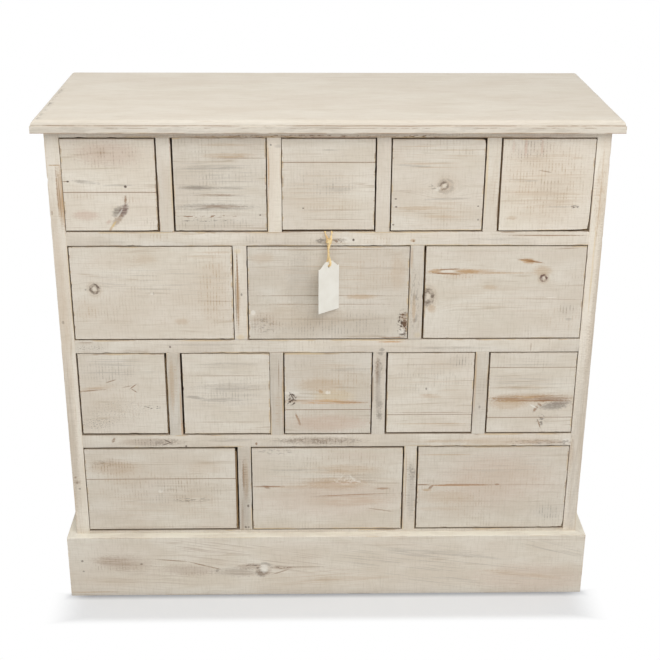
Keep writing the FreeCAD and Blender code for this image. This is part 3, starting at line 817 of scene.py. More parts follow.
def wash_coat(tree, figure, looks, shade):
    """The wash and the grain that shows through it."""
    tones = {name: colour(*value, shade) for name, value in WASHES.items()}
    patch = times(tree, figure["Patch"], looks["saw"])
    sawn = times(tree, figure["Comb"], calc(tree, "MAXIMUM", patch, 0.3 * min(looks["saw"], 1.0)))
    surface = tones["thick"]
    for part, strength, tone in (
        (figure["Cloud"], looks["clouds"], "thin"),
        (figure["Hue"], 0.6 * looks["clouds"], "pink"),
        (figure["Streaks"], 0.34 * looks["lines"], "streak"),
        (ramp(tree, figure["Fibre"], 0.48, 0.72), 0.4, "fibre"),
        (figure["Brush"], 0.3 * looks["brush"], "fibre"),
        (figure["Lines"], 0.42 * looks["lines"], "line"),
        (sawn, 0.6, "saw"),
    ):
        surface = blend(tree, times(tree, part, strength), surface, tones[tone])
    return surface, sawn


def wash_height(tree, figure, sawn):
    """The relief of the wash: fibres stand up, ring lines and saw bars are sunk."""
    height = calc(tree, "SUBTRACT", times(tree, figure["Fibre"], 0.5), times(tree, figure["Lines"], 0.3))
    return calc(tree, "SUBTRACT", height, times(tree, sawn, 0.35))


def worn_edges(tree, surface, place, point, box, strength):
    """Long patchy stretches of rubbed wood along the board's edges."""
    distance = use_group(tree, EDGE_DISTANCE, place, tuple(box[0]), tuple(box[1]))[0]
    wear = ramp(tree, grain_noise(tree, point, (9.0, 60.0, 60.0), 4.0, 0.65), 0.47, 0.6)
    reach = times(tree, wear, 2.3 * MM)
    rubbed = ramp(tree, calc(tree, "SUBTRACT", distance, reach), 0.2 * MM, -1.2 * MM)
    darker = ramp(tree, grain_noise(tree, point, (16.0, 80.0, 80.0), 3.0), 0.46, 0.6)
    return blend(tree, times(tree, rubbed, strength), surface, blend(tree, darker, RUBBED, RUBBED_DARK))


def bare_inside(tree, surface, depth, point, figure, raw_from):
    """Grime and painted shade just inside the gap, and wood without a finish further in."""
    # Painted shade with grime: the wash goes brown in the first few millimetres inside each gap
    gap_grime_and_shade = ramp(tree, depth, FRONT_Y + 1.0 * MM, FRONT_Y + 5.0 * MM, 0.0, 0.6)
    surface = blend(tree, gap_grime_and_shade, surface, colour(*WASHES["gap_grime_and_shade"]))
    ragged = times(tree, grain_noise(tree, point, (30.0, 60.0, 60.0), 2.0), 14 * MM)
    bare = ramp(tree, calc(tree, "SUBTRACT", depth, ragged), raw_from, raw_from + 6 * MM)
    wood = blend(tree, ramp(tree, figure["Fibre"], 0.35, 0.75), RAW, RAW_DARK)
    return blend(tree, bare, surface, wood)


def lay_seams(tree, surface, across, seams):
    """Brown hairlines where a board is glued up."""
    for seam in seams:
        off = calc(tree, "ABSOLUTE", calc(tree, "SUBTRACT", across, seam * MM))
        surface = blend(tree, ramp(tree, off, 1.0 * MM, 0.3 * MM, 0.0, 0.7), surface, SEAM_DARK)
    return surface


SIDE_SEAMS = (-52, 71)


def glued_side(sheet, parts, surface, height, marks):
    """A side panel's outer face: three boards edge to edge, the middle one greyer, with knots."""
    tree = sheet.tree
    for mark in marks:
        surface, height = LAYERS[mark.kind](sheet, mark, surface, height)
    low, high = (seam * MM for seam in SIDE_SEAMS)
    behind = ramp(tree, parts[1], low - 0.1 * MM, low + 0.1 * MM)
    middle = times(tree, behind, ramp(tree, parts[1], high + 0.1 * MM, high - 0.1 * MM))
    surface = blend(tree, times(tree, middle, 0.09), surface, TONES["grey"])
    return lay_seams(tree, surface, parts[1], SIDE_SEAMS), height


# What a board's finish is unless something else is asked for
LOOKS = {
    "clouds": 0.55, "lines": 1.0, "saw": 0.8, "rub": 0.55, "brush": 1.0, "face": "front", "shade": 1.0,
    "marks": (), "seams": (), "raw_from": None, "only_front": False, "extra": None, "outer": (),
}


def limewash(name, box, grain, seed, **wanted):
    """Limewashed pine for one board: its box, the way of its grain, and the marks it has."""
    looks = {**LOOKS, **wanted}
    material, tree, shader = new_material(name)
    place = add_node(tree, "TexCoord").outputs["Object"]
    parts = separate(tree, place)
    offset = (seed * 1.37 % 7.0, seed * 2.11 % 9.0, seed * 0.73 % 5.0)
    point = calc_vector(tree, "ADD", picked(tree, parts, GRAINS[grain]), offset)
    axes = FACES[looks["face"]]
    flat = picked(tree, parts, axes)
    across_index = axes.index(GRAINS[grain][1]) if GRAINS[grain][1] in axes else 1
    warp = swerve(tree, flat, looks["marks"], across_index)
    outer_flat = picked(tree, parts, FACES["side"])
    warp = calc(tree, "ADD", swerve(tree, outer_flat, looks["outer"], 0), warp) if looks["outer"] else warp
    figure = {socket.name: socket for socket in use_group(tree, PINE_FIGURE, point, warp)}
    streaky = grain_noise(tree, point, (24.0, 400.0, 400.0), 3.0, 0.6)
    sheet = Sheet(tree, flat, point, figure, streaky)
    plain, sawn = wash_coat(tree, figure, looks, looks["shade"])
    surface, height = plain, wash_height(tree, figure, sawn)
    for mark in looks["marks"]:
        surface, height = LAYERS[mark.kind](sheet, mark, surface, height)
    if looks["only_front"]:
        surface = blend(tree, ramp(tree, parts[1], FRONT_Y + 3 * MM, FRONT_Y + 1 * MM), plain, surface)
    if looks["outer"]:
        outer = sheet._replace(flat=outer_flat)
        surface, height = glued_side(outer, parts, surface, height, looks["outer"])
    surface = lay_seams(tree, surface, parts[GRAINS[grain][1]], looks["seams"])
    surface = worn_edges(tree, surface, place, point, box, looks["rub"])
    if looks["extra"] is not None:
        surface = looks["extra"](tree, surface, parts, point)
    if looks["raw_from"] is not None:
        surface = bare_inside(tree, surface, parts[1], point, figure, looks["raw_from"])
    shader.inputs["Specular IOR Level"].default_value = 0.35
    roughness = ramp(tree, figure["Fibre"], 0.2, 0.8, 0.62, 0.86)
    finish_shader(tree, shader, surface, roughness, height, 0.5, 0.5 * MM)
    return material


# %% [markdown]
# ## The marks
#
# Each board's knots, stains, cracks, nail holes and patches of saw marks are listed here, and so
# are those on the outside of the side panels. A row says what kind of mark it is, where its middle
# lies to the right of the cabinet's middle and above the floor in millimetres, how long and how high
# it is, how far it is turned anticlockwise in degrees, its tone, and how strongly it shows. On an
# outside the first number is how far back the mark lies instead. Seams are the heights of the
# joints where a front is glued up from narrower boards. As plain words the table is short, and a
# few lines of code turn it into numbers.

# %% Tables of marks and seams
# On drawer_r2c2_front the tall grey stain at -45, 576 is a painted shadow of the tag, cast to its left
# On top_rails the long tan band at 817 is partly the rail's own tint and partly painted shade under the top
# board
MARK_TABLE = """
drawer_r1c1_front
hatch -339 790 116 47 0 brown 0.6
stain -339 791 106 41 0 pink 0.35
hatch -349 792 33 19 0 brown 0.5
hatch -305 719 40 19 0 tan 0.5
hatch -378 724 46 13 0 tan 0.4
band -374 746 43 7.0 -6 grey 0.8
crack -405 747 10.7 1.4 0 brown 0.8
dot -402 747 4.0 2.7 0 dark 0.9
band -325 741 52 3.8 0 grey 0.5
dot -314 739 4.6 4.2 -30 dark 0.9
stain -378 693 43 18 0 pink 0.6
stain -329 699 22 12 55 grey 1.0
stain -319 700 28 13 62 purple 1.0
stain -315 718 16 4.3 84 brown 0.95
stain -329 685 26 10.6 50 brown 0.75
crack -325 696 19 2.8 57 pale 0.5
crack -336 677 16 3.6 55 yellow 0.9
stain -340 671 9.3 4.9 50 tan 0.8
stain -343 682 10.9 6.5 40 pink 0.6
drawer_r1c2_front
band -163 805 91 5.0 0 tan 0.6
band -152 788 92 8.8 0 tan 0.85
crack -136 784 92 1.4 0 brown 0.6
band -177 769 116 6.6 0 grey 0.6
band -201 737 68 9.6 0 grey 1.0
band -150 737 46 6.4 0 grey 0.7
band -172 725 77 4.5 0 brown 0.8
band -177 706 130 13 0 grey 1.0
band -172 707 87 6.5 0 brown 0.7
dashes -185 691 103 4.2 0 brown 0.9
dashes -189 684 97 3.9 0 dark 0.6
dot -107 693 3.4 2.6 0 dark 0.7
hatch -178 679 119 20 0 grey 0.6
hatch -160 753 123 25 0 grey 0.3
lines -176 750 138 95 0 grey 0.5
drawer_r1c3_front
stain 16 735 37 9.6 0 grey 0.28
hatch 8 736 81 22 0 grey 0.5
crack 8 701 109 1.1 0 brown 0.5
crack 8 686 103 1.1 0 brown 0.5
dot -40 704 2.8 2.3 0 dark 0.8
band 3 797 34 3.1 0 grey 0.5
hatch -17 743 108 48 0 grey 0.4
hatch 2 709 125 19 0 tan 0.4
lines -6 725 124 80 0 tan 0.4
crack 2 756 93 1.1 0 tan 0.4
drawer_r1c4_front
knot 179 740 13 11.9 40 dark 0.75
knot 181 739 22 21 20 grey 0.35
stain 169 735 12 6.4 30 pale 0.7
band 149 704 94 7.2 0 tan 0.7
lines 161 787 148 53 0 tan 0.8
lines 158 708 150 65 0 tan 0.5
band 131 772 62 4.7 -3 grey 0.6
band 185 719 81 4.9 2 grey 0.5
band 174 690 94 6.5 0 tan 0.45
band 126 731 56 4.2 -4 brown 0.35
dot 104 719 3.7 2.4 0 dark 0.7
dot 105 706 4.1 2.6 0 dark 0.8
dot 101 677 3.8 2.5 0 dark 0.7
dot 233 707 3.1 2.3 0 dark 0.7
dot 234 685 3.1 3.3 0 grey 0.8
dashes 161 738 14 9.6 0 grey 0.7
hatch 189 698 78 42 0 tan 0.35
drawer_r1c5_front
hatch 335 746 143 135 0 tan 0.75
hatch 311 797 68 44 0 purple 0.55
stain 302 802 34 5.2 90 pink 0.7
stain 327 802 31 4.0 90 pink 0.6
stain 283 803 22 4.6 90 pink 0.4
crack 334 763 19 1.9 -10 brown 0.55
band 382 784 22 4.7 0 tan 0.5
band 302 749 53 4.8 -3 grey 0.6
band 371 727 53 3.9 -2 tan 0.6
dashes 385 706 14 6.5 0 dark 0.8
stain 287 688 19 6.6 0 tan 0.5
band 361 706 53 3.3 0 grey 0.7
lines 335 741 143 128 0 tan 0.6
hatch 347 733 62 48 0 grey 0.3
drawer_r2c1_front
knot -373 570 14 15 25 dark 0.7
crack -368 575 13 3.1 -45 dark 0.7
dot -387 569 3.2 3.1 0 grey 0.6
dot -282 562 4.8 4.5 0 pale 0.6
crack -279 562 5.5 1.4 90 grey 0.5
hatch -183 572 54 154 0 tan 0.85
hatch -389 533 42 35 0 tan 0.85
stain -290 621 41 20 0 tan 0.3
stain -236 514 26 12 0 tan 0.4
stain -342 616 94 34 0 tan 0.2
crack -183 549 67 1.2 -1 brown 0.4
lines -268 580 238 51 -1 grey 0.5
band -197 624 69 6.7 0 tan 0.5
band -181 632 69 5.0 0 tan 0.4
hatch -285 551 239 120 0 tan 0.18
drawer_r2c2_front
crack -5 558 240 1.4 0 brown 0.6
crack -2 543 225 1.2 0 brown 0.6
crack -6 636 234 1.2 0 brown 0.6
stain 52 556 55 10.3 0 tan 0.6
blots 121 508 18 49 0 dark 1.0
stain 122 522 13 17 0 brown 0.5
stain 120 496 11.4 10.6 0 pale 0.8
stain 124 507 9.7 28 0 brown 0.4
crack 104 485 42 2.5 0 brown 0.8
hatch 19 507 227 46 0 grey 0.75
hatch -102 509 55 42 0 brown 0.75
dashes -104 507 36 28 0 dark 0.4
dot -121 529 8.0 8.7 0 pale 0.8
stain -105 622 44 20 0 tan 0.3
stain 111 598 29 68 0 tan 0.3
lines -6 593 239 68 0 tan 0.5
band 82 605 80 5.1 0 grey 0.35
stain -46 523 177 52 0 tan 0.25
stain -45 576 48 119 0 grey 0.25
hatch 74 602 111 85 0 tan 0.4
drawer_r2c3_front
band 219 598 134 10.9 0 amber 0.8
stain 171 600 26 7.5 6 amber 0.9
stain 222 599 38 8.1 -2 amber 0.95
crack 190 602 38 2.5 3 rust 0.95
crack 189 595 48 2.5 -3 rust 0.9
crack 190 599 24 5.1 0 pale 0.6
crack 267 596 112 1.5 0 amber 0.8
hatch 208 590 51 11.9 0 amber 1.0
stain 319 616 27 10.1 -8 amber 1.0
stain 320 616 18 5.7 -8 rust 0.7
crack 322 616 42 3.0 -9 rust 0.8
crack 312 617 22 1.7 -4 amber 0.8
stain 342 599 32 20 0 tan 0.6
knot 344 587 10.9 10.9 0 purple 1.0
stain 341 586 7.1 7.5 0 purple 0.6
stain 259 572 26 8.6 0 tan 0.5
knot 159 555 19 26 0 dark 0.7
stain 155 558 6.4 19 0 dark 0.5
stain 161 547 9.7 8.6 60 dark 0.7
stain 167 535 15 16 0 tan 0.6
crack 360 551 104 1.2 -1 brown 0.4
crack 359 554 19 1.6 3 pale 0.8
hatch 386 532 29 28 0 grey 0.8
stain 390 516 13 5.3 0 grey 0.5
crack 375 637 41 2.0 2 brown 0.5
lines 276 550 226 69 0 tan 0.3
hatch 376 518 81 53 0 tan 0.4
drawer_r3c1_front
crack -357 408 20 1.8 18 brown 0.7
crack -321 398 15 2.0 38 brown 0.8
crack -320 391 13 2.0 -35 brown 0.8
crack -331 398 18 1.6 12 brown 0.5
band -382 395 66 9.1 6 tan 0.7
crack -389 391 46 2.2 6 brown 0.6
dashes -293 360 36 7.4 0 dark 0.8
specks -383 330 60 22 0 grey 0.8
specks -348 355 99 44 0 grey 0.4
hatch -360 425 91 47 0 grey 0.5
lines -340 432 137 43 0 grey 0.5
hatch -344 374 138 92 0 tan 0.25
drawer_r3c2_front
crack -168 417 128 1.4 0 brown 0.5
crack -167 332 127 1.5 0 brown 0.4
band -168 395 129 15 0 grey 0.5
band -222 378 40 6.2 -6 grey 0.8
band -175 373 83 9.2 0 grey 0.6
hatch -152 388 99 55 0 grey 0.4
band -161 438 114 7.2 0 grey 0.4
lines -168 391 139 110 0 grey 0.4
drawer_r3c3_front
band -3 369 140 10.2 -1 orange 1.0
band -46 371 50 4.8 -2 rust 0.9
crack 29 368 83 2.0 -1 rust 0.6
stain 10 380 76 26 0 yellow 0.35
stain 0 386 9.9 8.4 0 pale 1.0
stain -12 388 9.9 6.2 -20 amber 0.95
stain -61 385 30 7.3 0 pale 0.6
blots -59 374 15 24 0 dark 1.0
crack -59 378 20 2.2 -60 dark 0.8
crack -63 369 13 2.2 45 dark 0.7
stain -50 338 25 4.1 -68 rust 0.9
stain -47 329 8.4 5.6 -60 brown 0.6
stain 4 329 141 34 0 pink 0.5
stain -13 400 83 26 0 tan 0.45
hatch 20 400 116 73 0 tan 0.6
hatch -5 335 134 49 0 tan 0.4
band 39 427 72 9.0 0 grey 0.4
lines 0 418 138 73 0 tan 0.4
drawer_r3c4_front
crack 172 327 131 1.5 0 amber 0.5
crack 171 436 128 1.4 0 brown 0.3
dot 163 392 3.0 4.4 0 dark 0.6
stain 168 391 8.3 7.3 0 pale 0.5
band 171 379 40 7.4 -3 amber 0.8
hatch 215 442 40 25 0 grey 0.9
hatch 160 408 132 62 0 grey 0.3
crack 174 348 134 1.5 0 brown 0.5
lines 169 408 139 91 0 tan 0.4
drawer_r3c5_front
stain 337 373 154 26 0 tan 0.4
band 342 374 161 15 0 amber 0.9
stain 327 371 117 8.1 0 brown 0.45
stain 295 374 57 10.0 2 brown 0.5
band 374 373 74 11.9 2 purple 0.75
crack 337 369 141 2.2 0 rust 0.7
crack 367 378 67 1.8 2 brown 0.5
stain 376 359 50 15 4 grey 0.9
stain 389 366 40 11.1 3 purple 0.5
blots 381 361 50 11.2 3 grey 0.5
stain 347 354 15 6.0 62 brown 0.9
stain 354 362 11.7 4.5 -40 brown 0.8
crack 343 359 13 2.6 -30 pale 0.8
blots 358 333 15 21 0 grey 0.9
crack 355 326 17 2.3 -70 brown 0.7
band 319 393 100 6.2 0 tan 0.5
stain 301 363 67 22 0 tan 0.6
lines 334 411 139 73 0 grey 0.5
drawer_r4c1_front
hatch -365 248 81 31 0 brown 0.8
dashes -378 254 40 15 0 dark 0.4
hatch -302 226 203 31 0 tan 0.35
dot -285 200 8.5 6.3 0 pale 0.6
crack -284 129 224 1.6 0 brown 0.4
hatch -269 199 222 59 0 grey 0.4
dashes -232 183 68 9.9 0 grey 0.8
lines -287 183 239 99 0 tan 0.35
stain -206 245 68 27 0 tan 0.25
stain -360 246 101 31 0 tan 0.35
hatch -346 203 102 78 0 tan 0.35
hatch -227 193 103 98 0 tan 0.4
drawer_r4c2_front
band 30 240 136 23 0 tan 0.6
band 39 179 138 24 0 tan 0.5
lines 30 205 154 67 1 brown 0.5
stain 15 213 113 25 0 tan 0.6
crack 43 223 17 3.9 -52 pale 0.5
crack 52 217 14 3.1 -24 pale 0.45
crack 25 227 14 2.9 55 pale 0.4
blots 35 218 58 16 0 pale 0.5
band 27 214 58 4.3 2 pink 0.8
crack -102 208 58 2.7 0 brown 0.8
stain -104 207 14 6.7 -20 brown 0.7
stain 95 203 27 5.1 0 rust 0.7
crack 42 191 131 2.2 2 rust 0.7
crack 91 161 45 1.8 -9 brown 0.6
band -47 207 103 7.8 0 tan 0.6
lines 4 220 239 59 0 tan 0.4
dashes -89 275 68 11.5 0 dark 0.35
hatch 4 240 238 78 0 grey 0.25
hatch 38 255 153 77 0 tan 0.35
stain 5 181 258 79 0 pink 0.3
band -47 240 136 5.8 0 grey 0.4
drawer_r4c3_front
band 224 209 110 5.9 0 orange 1.0
crack 231 209 107 2.4 0 rust 0.95
crack 331 209 155 1.4 0 brown 0.4
crack 162 210 27 2.0 0 brown 0.8
stain 177 205 12 5.5 40 brown 0.9
stain 171 200 17 5.9 0 tan 0.8
dot 291 210 8.6 3.5 0 brown 0.7
crack 201 268 92 1.9 0 tan 0.6
stain 296 219 223 118 0 pink 0.3
hatch 229 170 104 60 0 tan 0.4
hatch 383 155 52 32 0 grey 0.9
hatch 295 222 189 78 0 tan 0.4
band 191 162 87 8.0 0 tan 0.5
stain 203 186 104 28 0 tan 0.3
lines 277 248 239 50 0 grey 0.4
divider_r2_1
crack -145 568 127 2.9 90 brown 0.9
crack -148 551 86 1.6 90 dark 0.7
stain -145 551 103 8.0 90 tan 0.6
stain -144 633 13 8.3 0 yellow 0.42
stain -142 486 15 10.6 0 yellow 0.42
dot -139 560 3.2 5.1 0 grey 0.8
divider_r2_2
stain 139 555 8.0 12 0 grey 0.8
stain 140 515 7.1 8.8 0 dark 0.5
stain 132 623 4.8 44 0 amber 0.42
stain 145 489 13 10.6 0 yellow 0.24
stain 138 536 6.5 52 0 tan 0.6
dashes 139 550 16 121 0 grey 0.5
divider_r1_2
crack -93 769 63 2.8 90 orange 0.57
crack -94 717 48 2.2 90 orange 0.42
stain -78 803 12 6.2 0 grey 0.35
dot -89 805 3.0 3.1 0 grey 0.8
divider_r1_4
stain 244 757 143 4.0 90 yellow 0.54
hatch 255 749 19 96 0 tan 0.5
divider_r1_1
stain -243 734 112 2.8 90 yellow 0.48
dot -242 666 6.2 3.3 0 tan 0.6
hatch -252 734 15 96 0 tan 0.3
divider_r3_1
stain -243 318 38 5.0 90 orange 0.57
crack -244 359 74 2.7 90 tan 0.7
stain -257 401 109 8.2 90 tan 0.5
hatch -253 410 16 91 0 tan 0.6
divider_r3_2
crack -74 382 129 3.0 90 amber 0.54
crack -81 418 54 1.6 90 brown 0.6
hatch -83 354 17 74 0 tan 0.6
divider_r3_3
stain 86 459 11.5 14 0 grey 0.8
stain 87 365 10.0 11.1 0 dark 0.4
stain 86 342 8.4 13 0 dark 0.4
blots 83 430 13 36 0 dark 0.45
stain 84 423 54 8.2 90 grey 0.5
stain 81 423 62 6.6 90 brown 0.45
stain 83 390 92 9.9 90 grey 0.4
blots 87 350 11.7 37 0 grey 0.5
stain 85 363 63 11.7 90 grey 0.35
divider_r3_4
stain 253 358 4.0 6.7 0 grey 0.8
crack 244 399 128 3.0 90 amber 0.36
hatch 255 380 20 111 0 grey 0.3
divider_r4_1
stain -143 229 66 4.4 90 brown 0.8
stain -139 221 86 10.2 90 tan 0.6
hatch -139 221 15 97 0 dark 0.4
stain -140 182 138 15 90 grey 0.3
stain -146 142 80 5.2 90 brown 0.4
dot -136 170 3.8 5.2 0 dark 0.7
dot -141 128 3.8 4.4 0 dark 0.7
dot -136 128 3.5 4.0 0 dark 0.5
divider_r4_2
hatch 143 231 21 51 0 dark 0.7
blots 143 233 15 31 0 grey 0.6
hatch 144 180 21 79 0 dark 0.45
stain 144 200 118 15 90 grey 0.3
crack 134 220 117 2.4 90 amber 0.42
top_rails
band -196 818 273 4.6 0 brown 0.4
band -5 817 853 5.6 0 tan 0.8
dashes -44 818 304 4.7 0 brown 0.9
dashes 138 818 92 4.7 0 brown 0.9
band 322 818 138 4.7 0 pink 0.5
band -14 817 213 4.7 0 pink 0.6
shelf_1
blots -10 651 20 9.9 0 grey 0.8
stain -10 650 25 8.3 0 grey 0.6
blots 16 650 25 10.0 0 brown 0.8
stain 27 653 14 8.3 0 pale 0.6
stain 15 652 25 6.6 0 grey 0.7
dot 39 652 3.5 4.3 0 dark 0.9
stain 133 651 9.5 6.6 0 tan 0.8
dot 134 650 3.8 3.3 0 brown 0.7
crack 346 659 127 1.7 0 brown 0.8
hatch -280 656 94 17 0 tan 0.5
hatch 81 652 79 17 0 tan 0.6
band -343 649 63 3.3 0 grey 0.5
band 270 653 111 5.0 0 grey 0.4
hatch -116 654 47 15 0 grey 0.5
shelf_2
dot -257 469 3.6 3.9 0 dark 0.7
stain 88 463 9.8 7.1 0 grey 0.7
crack 102 477 42 2.1 0 orange 0.9
crack 332 467 16 1.5 90 brown 0.5
band 199 466 147 5.4 0 grey 0.5
band -208 473 162 5.3 0 grey 0.4
specks -387 468 49 10.6 0 grey 0.7
crack -394 477 26 1.6 0 brown 0.6
shelf_3
stain -365 298 57 15 0 pale 0.3
stain -359 299 5.0 11.3 -30 brown 0.8
hatch -295 295 100 17 0 dark 0.6
stain -298 295 117 15 0 brown 0.3
blots -273 295 67 13 0 dark 0.25
crack -268 296 15 2.1 -30 dark 0.8
crack -272 291 13 1.9 20 dark 0.7
dot -238 287 3.4 3.8 0 dark 0.8
dot -120 291 3.7 5.7 0 brown 0.8
blots -16 296 152 13 0 grey 0.5
dashes -30 298 151 9.5 0 dark 0.3
hatch -21 296 135 17 0 dark 0.45
stain -11 296 152 15 0 brown 0.3
band 359 292 119 9.5 0 brown 0.6
dashes 359 292 119 9.5 0 dark 0.4
stain 291 294 203 15 0 tan 0.35
stain 403 293 14 11.4 0 pale 0.8
blots 403 291 14 11.5 0 grey 0.6
band 190 294 152 5.7 0 tan 0.6
band -164 298 101 7.6 0 grey 0.5
side_left
crack -420 773 21 1.7 0 tan 0.9
stain -415 724 103 11.5 90 tan 0.95
crack -412 718 106 2.5 90 amber 0.54
crack -419 734 77 1.7 90 brown 0.55
crack -416 718 96 1.5 90 brown 0.4
stain -428 228 5.1 4.7 0 brown 0.8
stain -426 218 4.1 5.8 0 dark 0.7
dot -422 206 4.1 3.5 0 grey 0.7
stain -427 513 4.8 6.3 0 grey 0.9
stain -430 697 8.1 3.1 90 brown 0.6
crack -411 569 188 2.2 90 yellow 0.48
crack -410 411 163 2.3 90 yellow 0.42
stain -426 219 14 9.7 0 brown 0.4
stain -434 184 118 8.5 90 tan 0.5
stain -427 447 536 23 90 tan 0.3
stain -428 300 302 17 90 grey 0.25
side_right
stain 426 741 177 19 90 tan 0.25
crack 423 717 179 1.9 90 amber 0.3
dashes 423 717 19 146 0 tan 0.3
crack 421 601 153 2.6 90 yellow 0.42
hatch 418 741 16 48 0 tan 0.7
stain 414 266 77 10.2 90 tan 0.4
stain 433 407 512 22 90 tan 0.3
stain 429 276 480 44 90 grey 0.38
stain 433 549 347 15 90 grey 0.3
plinth_front
dot -425 71 4.5 4.5 0 grey 0.9
dot -424 50 3.8 3.3 0 grey 0.7
dot -323 64 5.2 3.3 0 dark 0.6
stain -192 50 7.0 7.0 -30 dark 0.6
crack -213 60 59 2.3 -16 brown 0.7
crack -270 71 55 2.0 -5 brown 0.7
stain -135 58 52 12 3 brown 0.55
dashes -131 57 45 10.3 2 dark 0.8
band -79 55 59 9.1 0 brown 0.6
dashes -82 55 42 6.2 0 dark 0.7
stain -111 49 28 25 0 brown 0.6
stain -114 45 23 17 20 dark 0.6
stain -107 62 21 8.2 -10 dark 0.5
stain -110 54 18 19 10 pale 1.2
crack -82 46 31 2.5 20 brown 0.6
crack -39 56 70 2.1 0 brown 0.5
stain -351 67 104 37 -4 brown 0.3
band -374 69 80 25 -8 brown 0.4
hatch -374 61 104 33 0 brown 0.4
stain -239 51 111 25 -3 brown 0.3
hatch -239 49 77 21 0 brown 0.6
band -152 45 70 17 -3 brown 0.5
stain -159 47 87 21 0 grey 0.3
stain -376 28 122 25 0 tan 0.12
lines -134 79 347 61 -9 brown 0.5
lines 198 56 421 91 -8 grey 0.5
lines 389 87 123 41 -14 grey 0.7
lines -30 29 281 50 4 tan 0.5
lines -327 40 226 54 -5 brown 0.35
stain 357 30 230 63 0 pink 0.35
crack -416 7 105 2.1 0 tan 0.6
band 179 85 209 12 -5 grey 0.4
band 339 38 159 12 -7 tan 0.5
band 40 32 176 10.4 2 tan 0.4
side_left_outside
knot -103 574 12 18 0 brown 0.6
crack -101 606 38 1.3 88 brown 0.55
knot 14 297 16 24 8 brown 0.75
crack 17 344 52 1.4 91 dark 0.55
knot 128 690 9 13 0 brown 0.55
band -30 690 170 15 90 tan 0.6
band -118 300 190 14 90 tan 0.5
band 104 430 210 17 90 grey 0.5
stain 38 520 74 7 90 amber 0.4
hatch -104 420 70 80 0 grey 0.9
hatch 118 250 80 60 0 grey 0.8
side_right_outside
knot -96 331 13 20 0 brown 0.7
knot -14 640 15 22 -6 brown 0.65
crack -17 594 56 1.4 89 dark 0.5
knot 122 480 10 15 0 brown 0.55
crack 98 700 60 1.2 90 brown 0.5
band 30 420 200 16 90 tan 0.6
band -112 620 170 15 90 grey 0.5
band 130 270 150 13 90 tan 0.5
stain -80 470 66 7 90 amber 0.4
hatch 10 250 80 70 0 grey 0.9
hatch 122 610 70 80 0 grey 0.8
"""
SEAMS = {
    "drawer_r1c1_front": (729.8,),
    "drawer_r1c3_front": (777.4,),
    "drawer_r3c3_front": (354.4,),
    "drawer_r3c4_front": (344.3,),
    "drawer_r3c5_front": (430.2, 338.4),
    "drawer_r4c1_front": (224.2,),
}


def read_marks(table):
    """The marks of each board: one word alone names a board, and its marks follow."""
    marks = {}
    for line in table.strip().split("\n"):
        kind, *numbers = line.split()
        if numbers:
            strength, tone = float(numbers.pop()), numbers.pop()
            rows.append(Mark(kind, *map(float, numbers), tone, strength))
        else:
            rows = marks[kind] = []
    return marks


MARKS = read_marks(MARK_TABLE)
print(sum(len(rows) for rows in MARKS.values()), "marks on", len(MARKS), "faces")

# %% [markdown]
# ## Boards from the construction
#
# A carcass board keeps its housings, tongues and rebates, so it starts as a copy of the modelled
# one. The copy's loose triangles are merged and its flat faces joined again. Then its front
# arrises are bevelled, planes cut it into short lengths, and each vertex moves a little, as if the
# board had been planed by hand. The movement is a steady field in space, so boards that meet
# still meet. The noise gets a seed first, because without one it is another field on each run.

# %% Copy, cut and shape a board
WOBBLE = 0.3 * MM
WOBBLE_SCALE = 24.0
WOBBLE_SEED = 3
noise.seed_set(WOBBLE_SEED)


def clean_copy(node):
    """The modelled board as one closed mesh of whole faces."""
    bm = bmesh.new()
    bm.from_mesh(frame["nodes"][node].data)
    bmesh.ops.remove_doubles(bm, verts=bm.verts, dist=0.002 * MM)
    bmesh.ops.dissolve_limit(
        bm, angle_limit=math.radians(0.5), verts=bm.verts, edges=bm.edges, use_dissolve_boundaries=False
    )
    bmesh.ops.recalc_face_normals(bm, faces=bm.faces)
    return bm


def cut_across(bm, axis, spacing, low, high):
    """Cuts the whole mesh by parallel planes between two places along an axis."""
    normal = Vector([1.0 if index == axis else 0.0 for index in range(3)])
    count = max(1, round((high - low) / spacing))
    for step in range(1, count):
        place = normal * (low + (high - low) * step / count)
        everything = bm.verts[:] + bm.edges[:] + bm.faces[:]
        bmesh.ops.bisect_plane(bm, geom=everything, plane_co=place, plane_no=normal)


def ease_edges(bm, width, chosen):
    """Bevels the edges that a test picks."""
    edges = [edge for edge in bm.edges if chosen(edge)]
    bmesh.ops.bevel(
        bm, geom=edges, offset=width, offset_type="OFFSET", segments=2, profile=0.5,
        affect="EDGES", material=-1, clamp_overlap=True,
    )


def settle(bm, box):
    """Moves each vertex by a steady field of noise, and keeps the mesh inside its box."""
    for vertex in bm.verts:
        moved = vertex.co + noise.noise_vector(vertex.co * WOBBLE_SCALE) * WOBBLE
        vertex.co = Vector([min(max(moved[i], box[0][i]), box[1][i]) for i in range(3)])


def nick_edges(bm, box, axis, seed, depth):
    """Dents the front arrises: vertices close to them move back and inwards where noise peaks."""
    other = 2 - axis
    middle = (box[0] + box[1]) / 2
    half = (box[1] - box[0]) / 2
    for vertex in bm.verts:
        back = vertex.co.y - box[0].y
        reach = abs(vertex.co[other] - middle[other])
        if back < 1.2 * MM and reach > half[other] - 1.2 * MM:
            side = math.copysign(1.0, vertex.co[other] - middle[other])
            peak = noise.noise(Vector((vertex.co[axis] * 62, side * 5.0, seed * 1.3)))
            dent = max(0.0, peak - 0.28) * depth
            vertex.co.y += dent
            vertex.co[other] -= side * dent * 0.8


# %% [markdown]
# ## Side panels, rails and dividers
#
# The front edges of the side panels are the outer stiles, and the front edges of the shelves are
# the rails. The stiles and the dividers have upright grain, and the rails level grain. A side panel
# is too wide for one board, so it is three, glued edge to edge, with knots and streaks of its own.

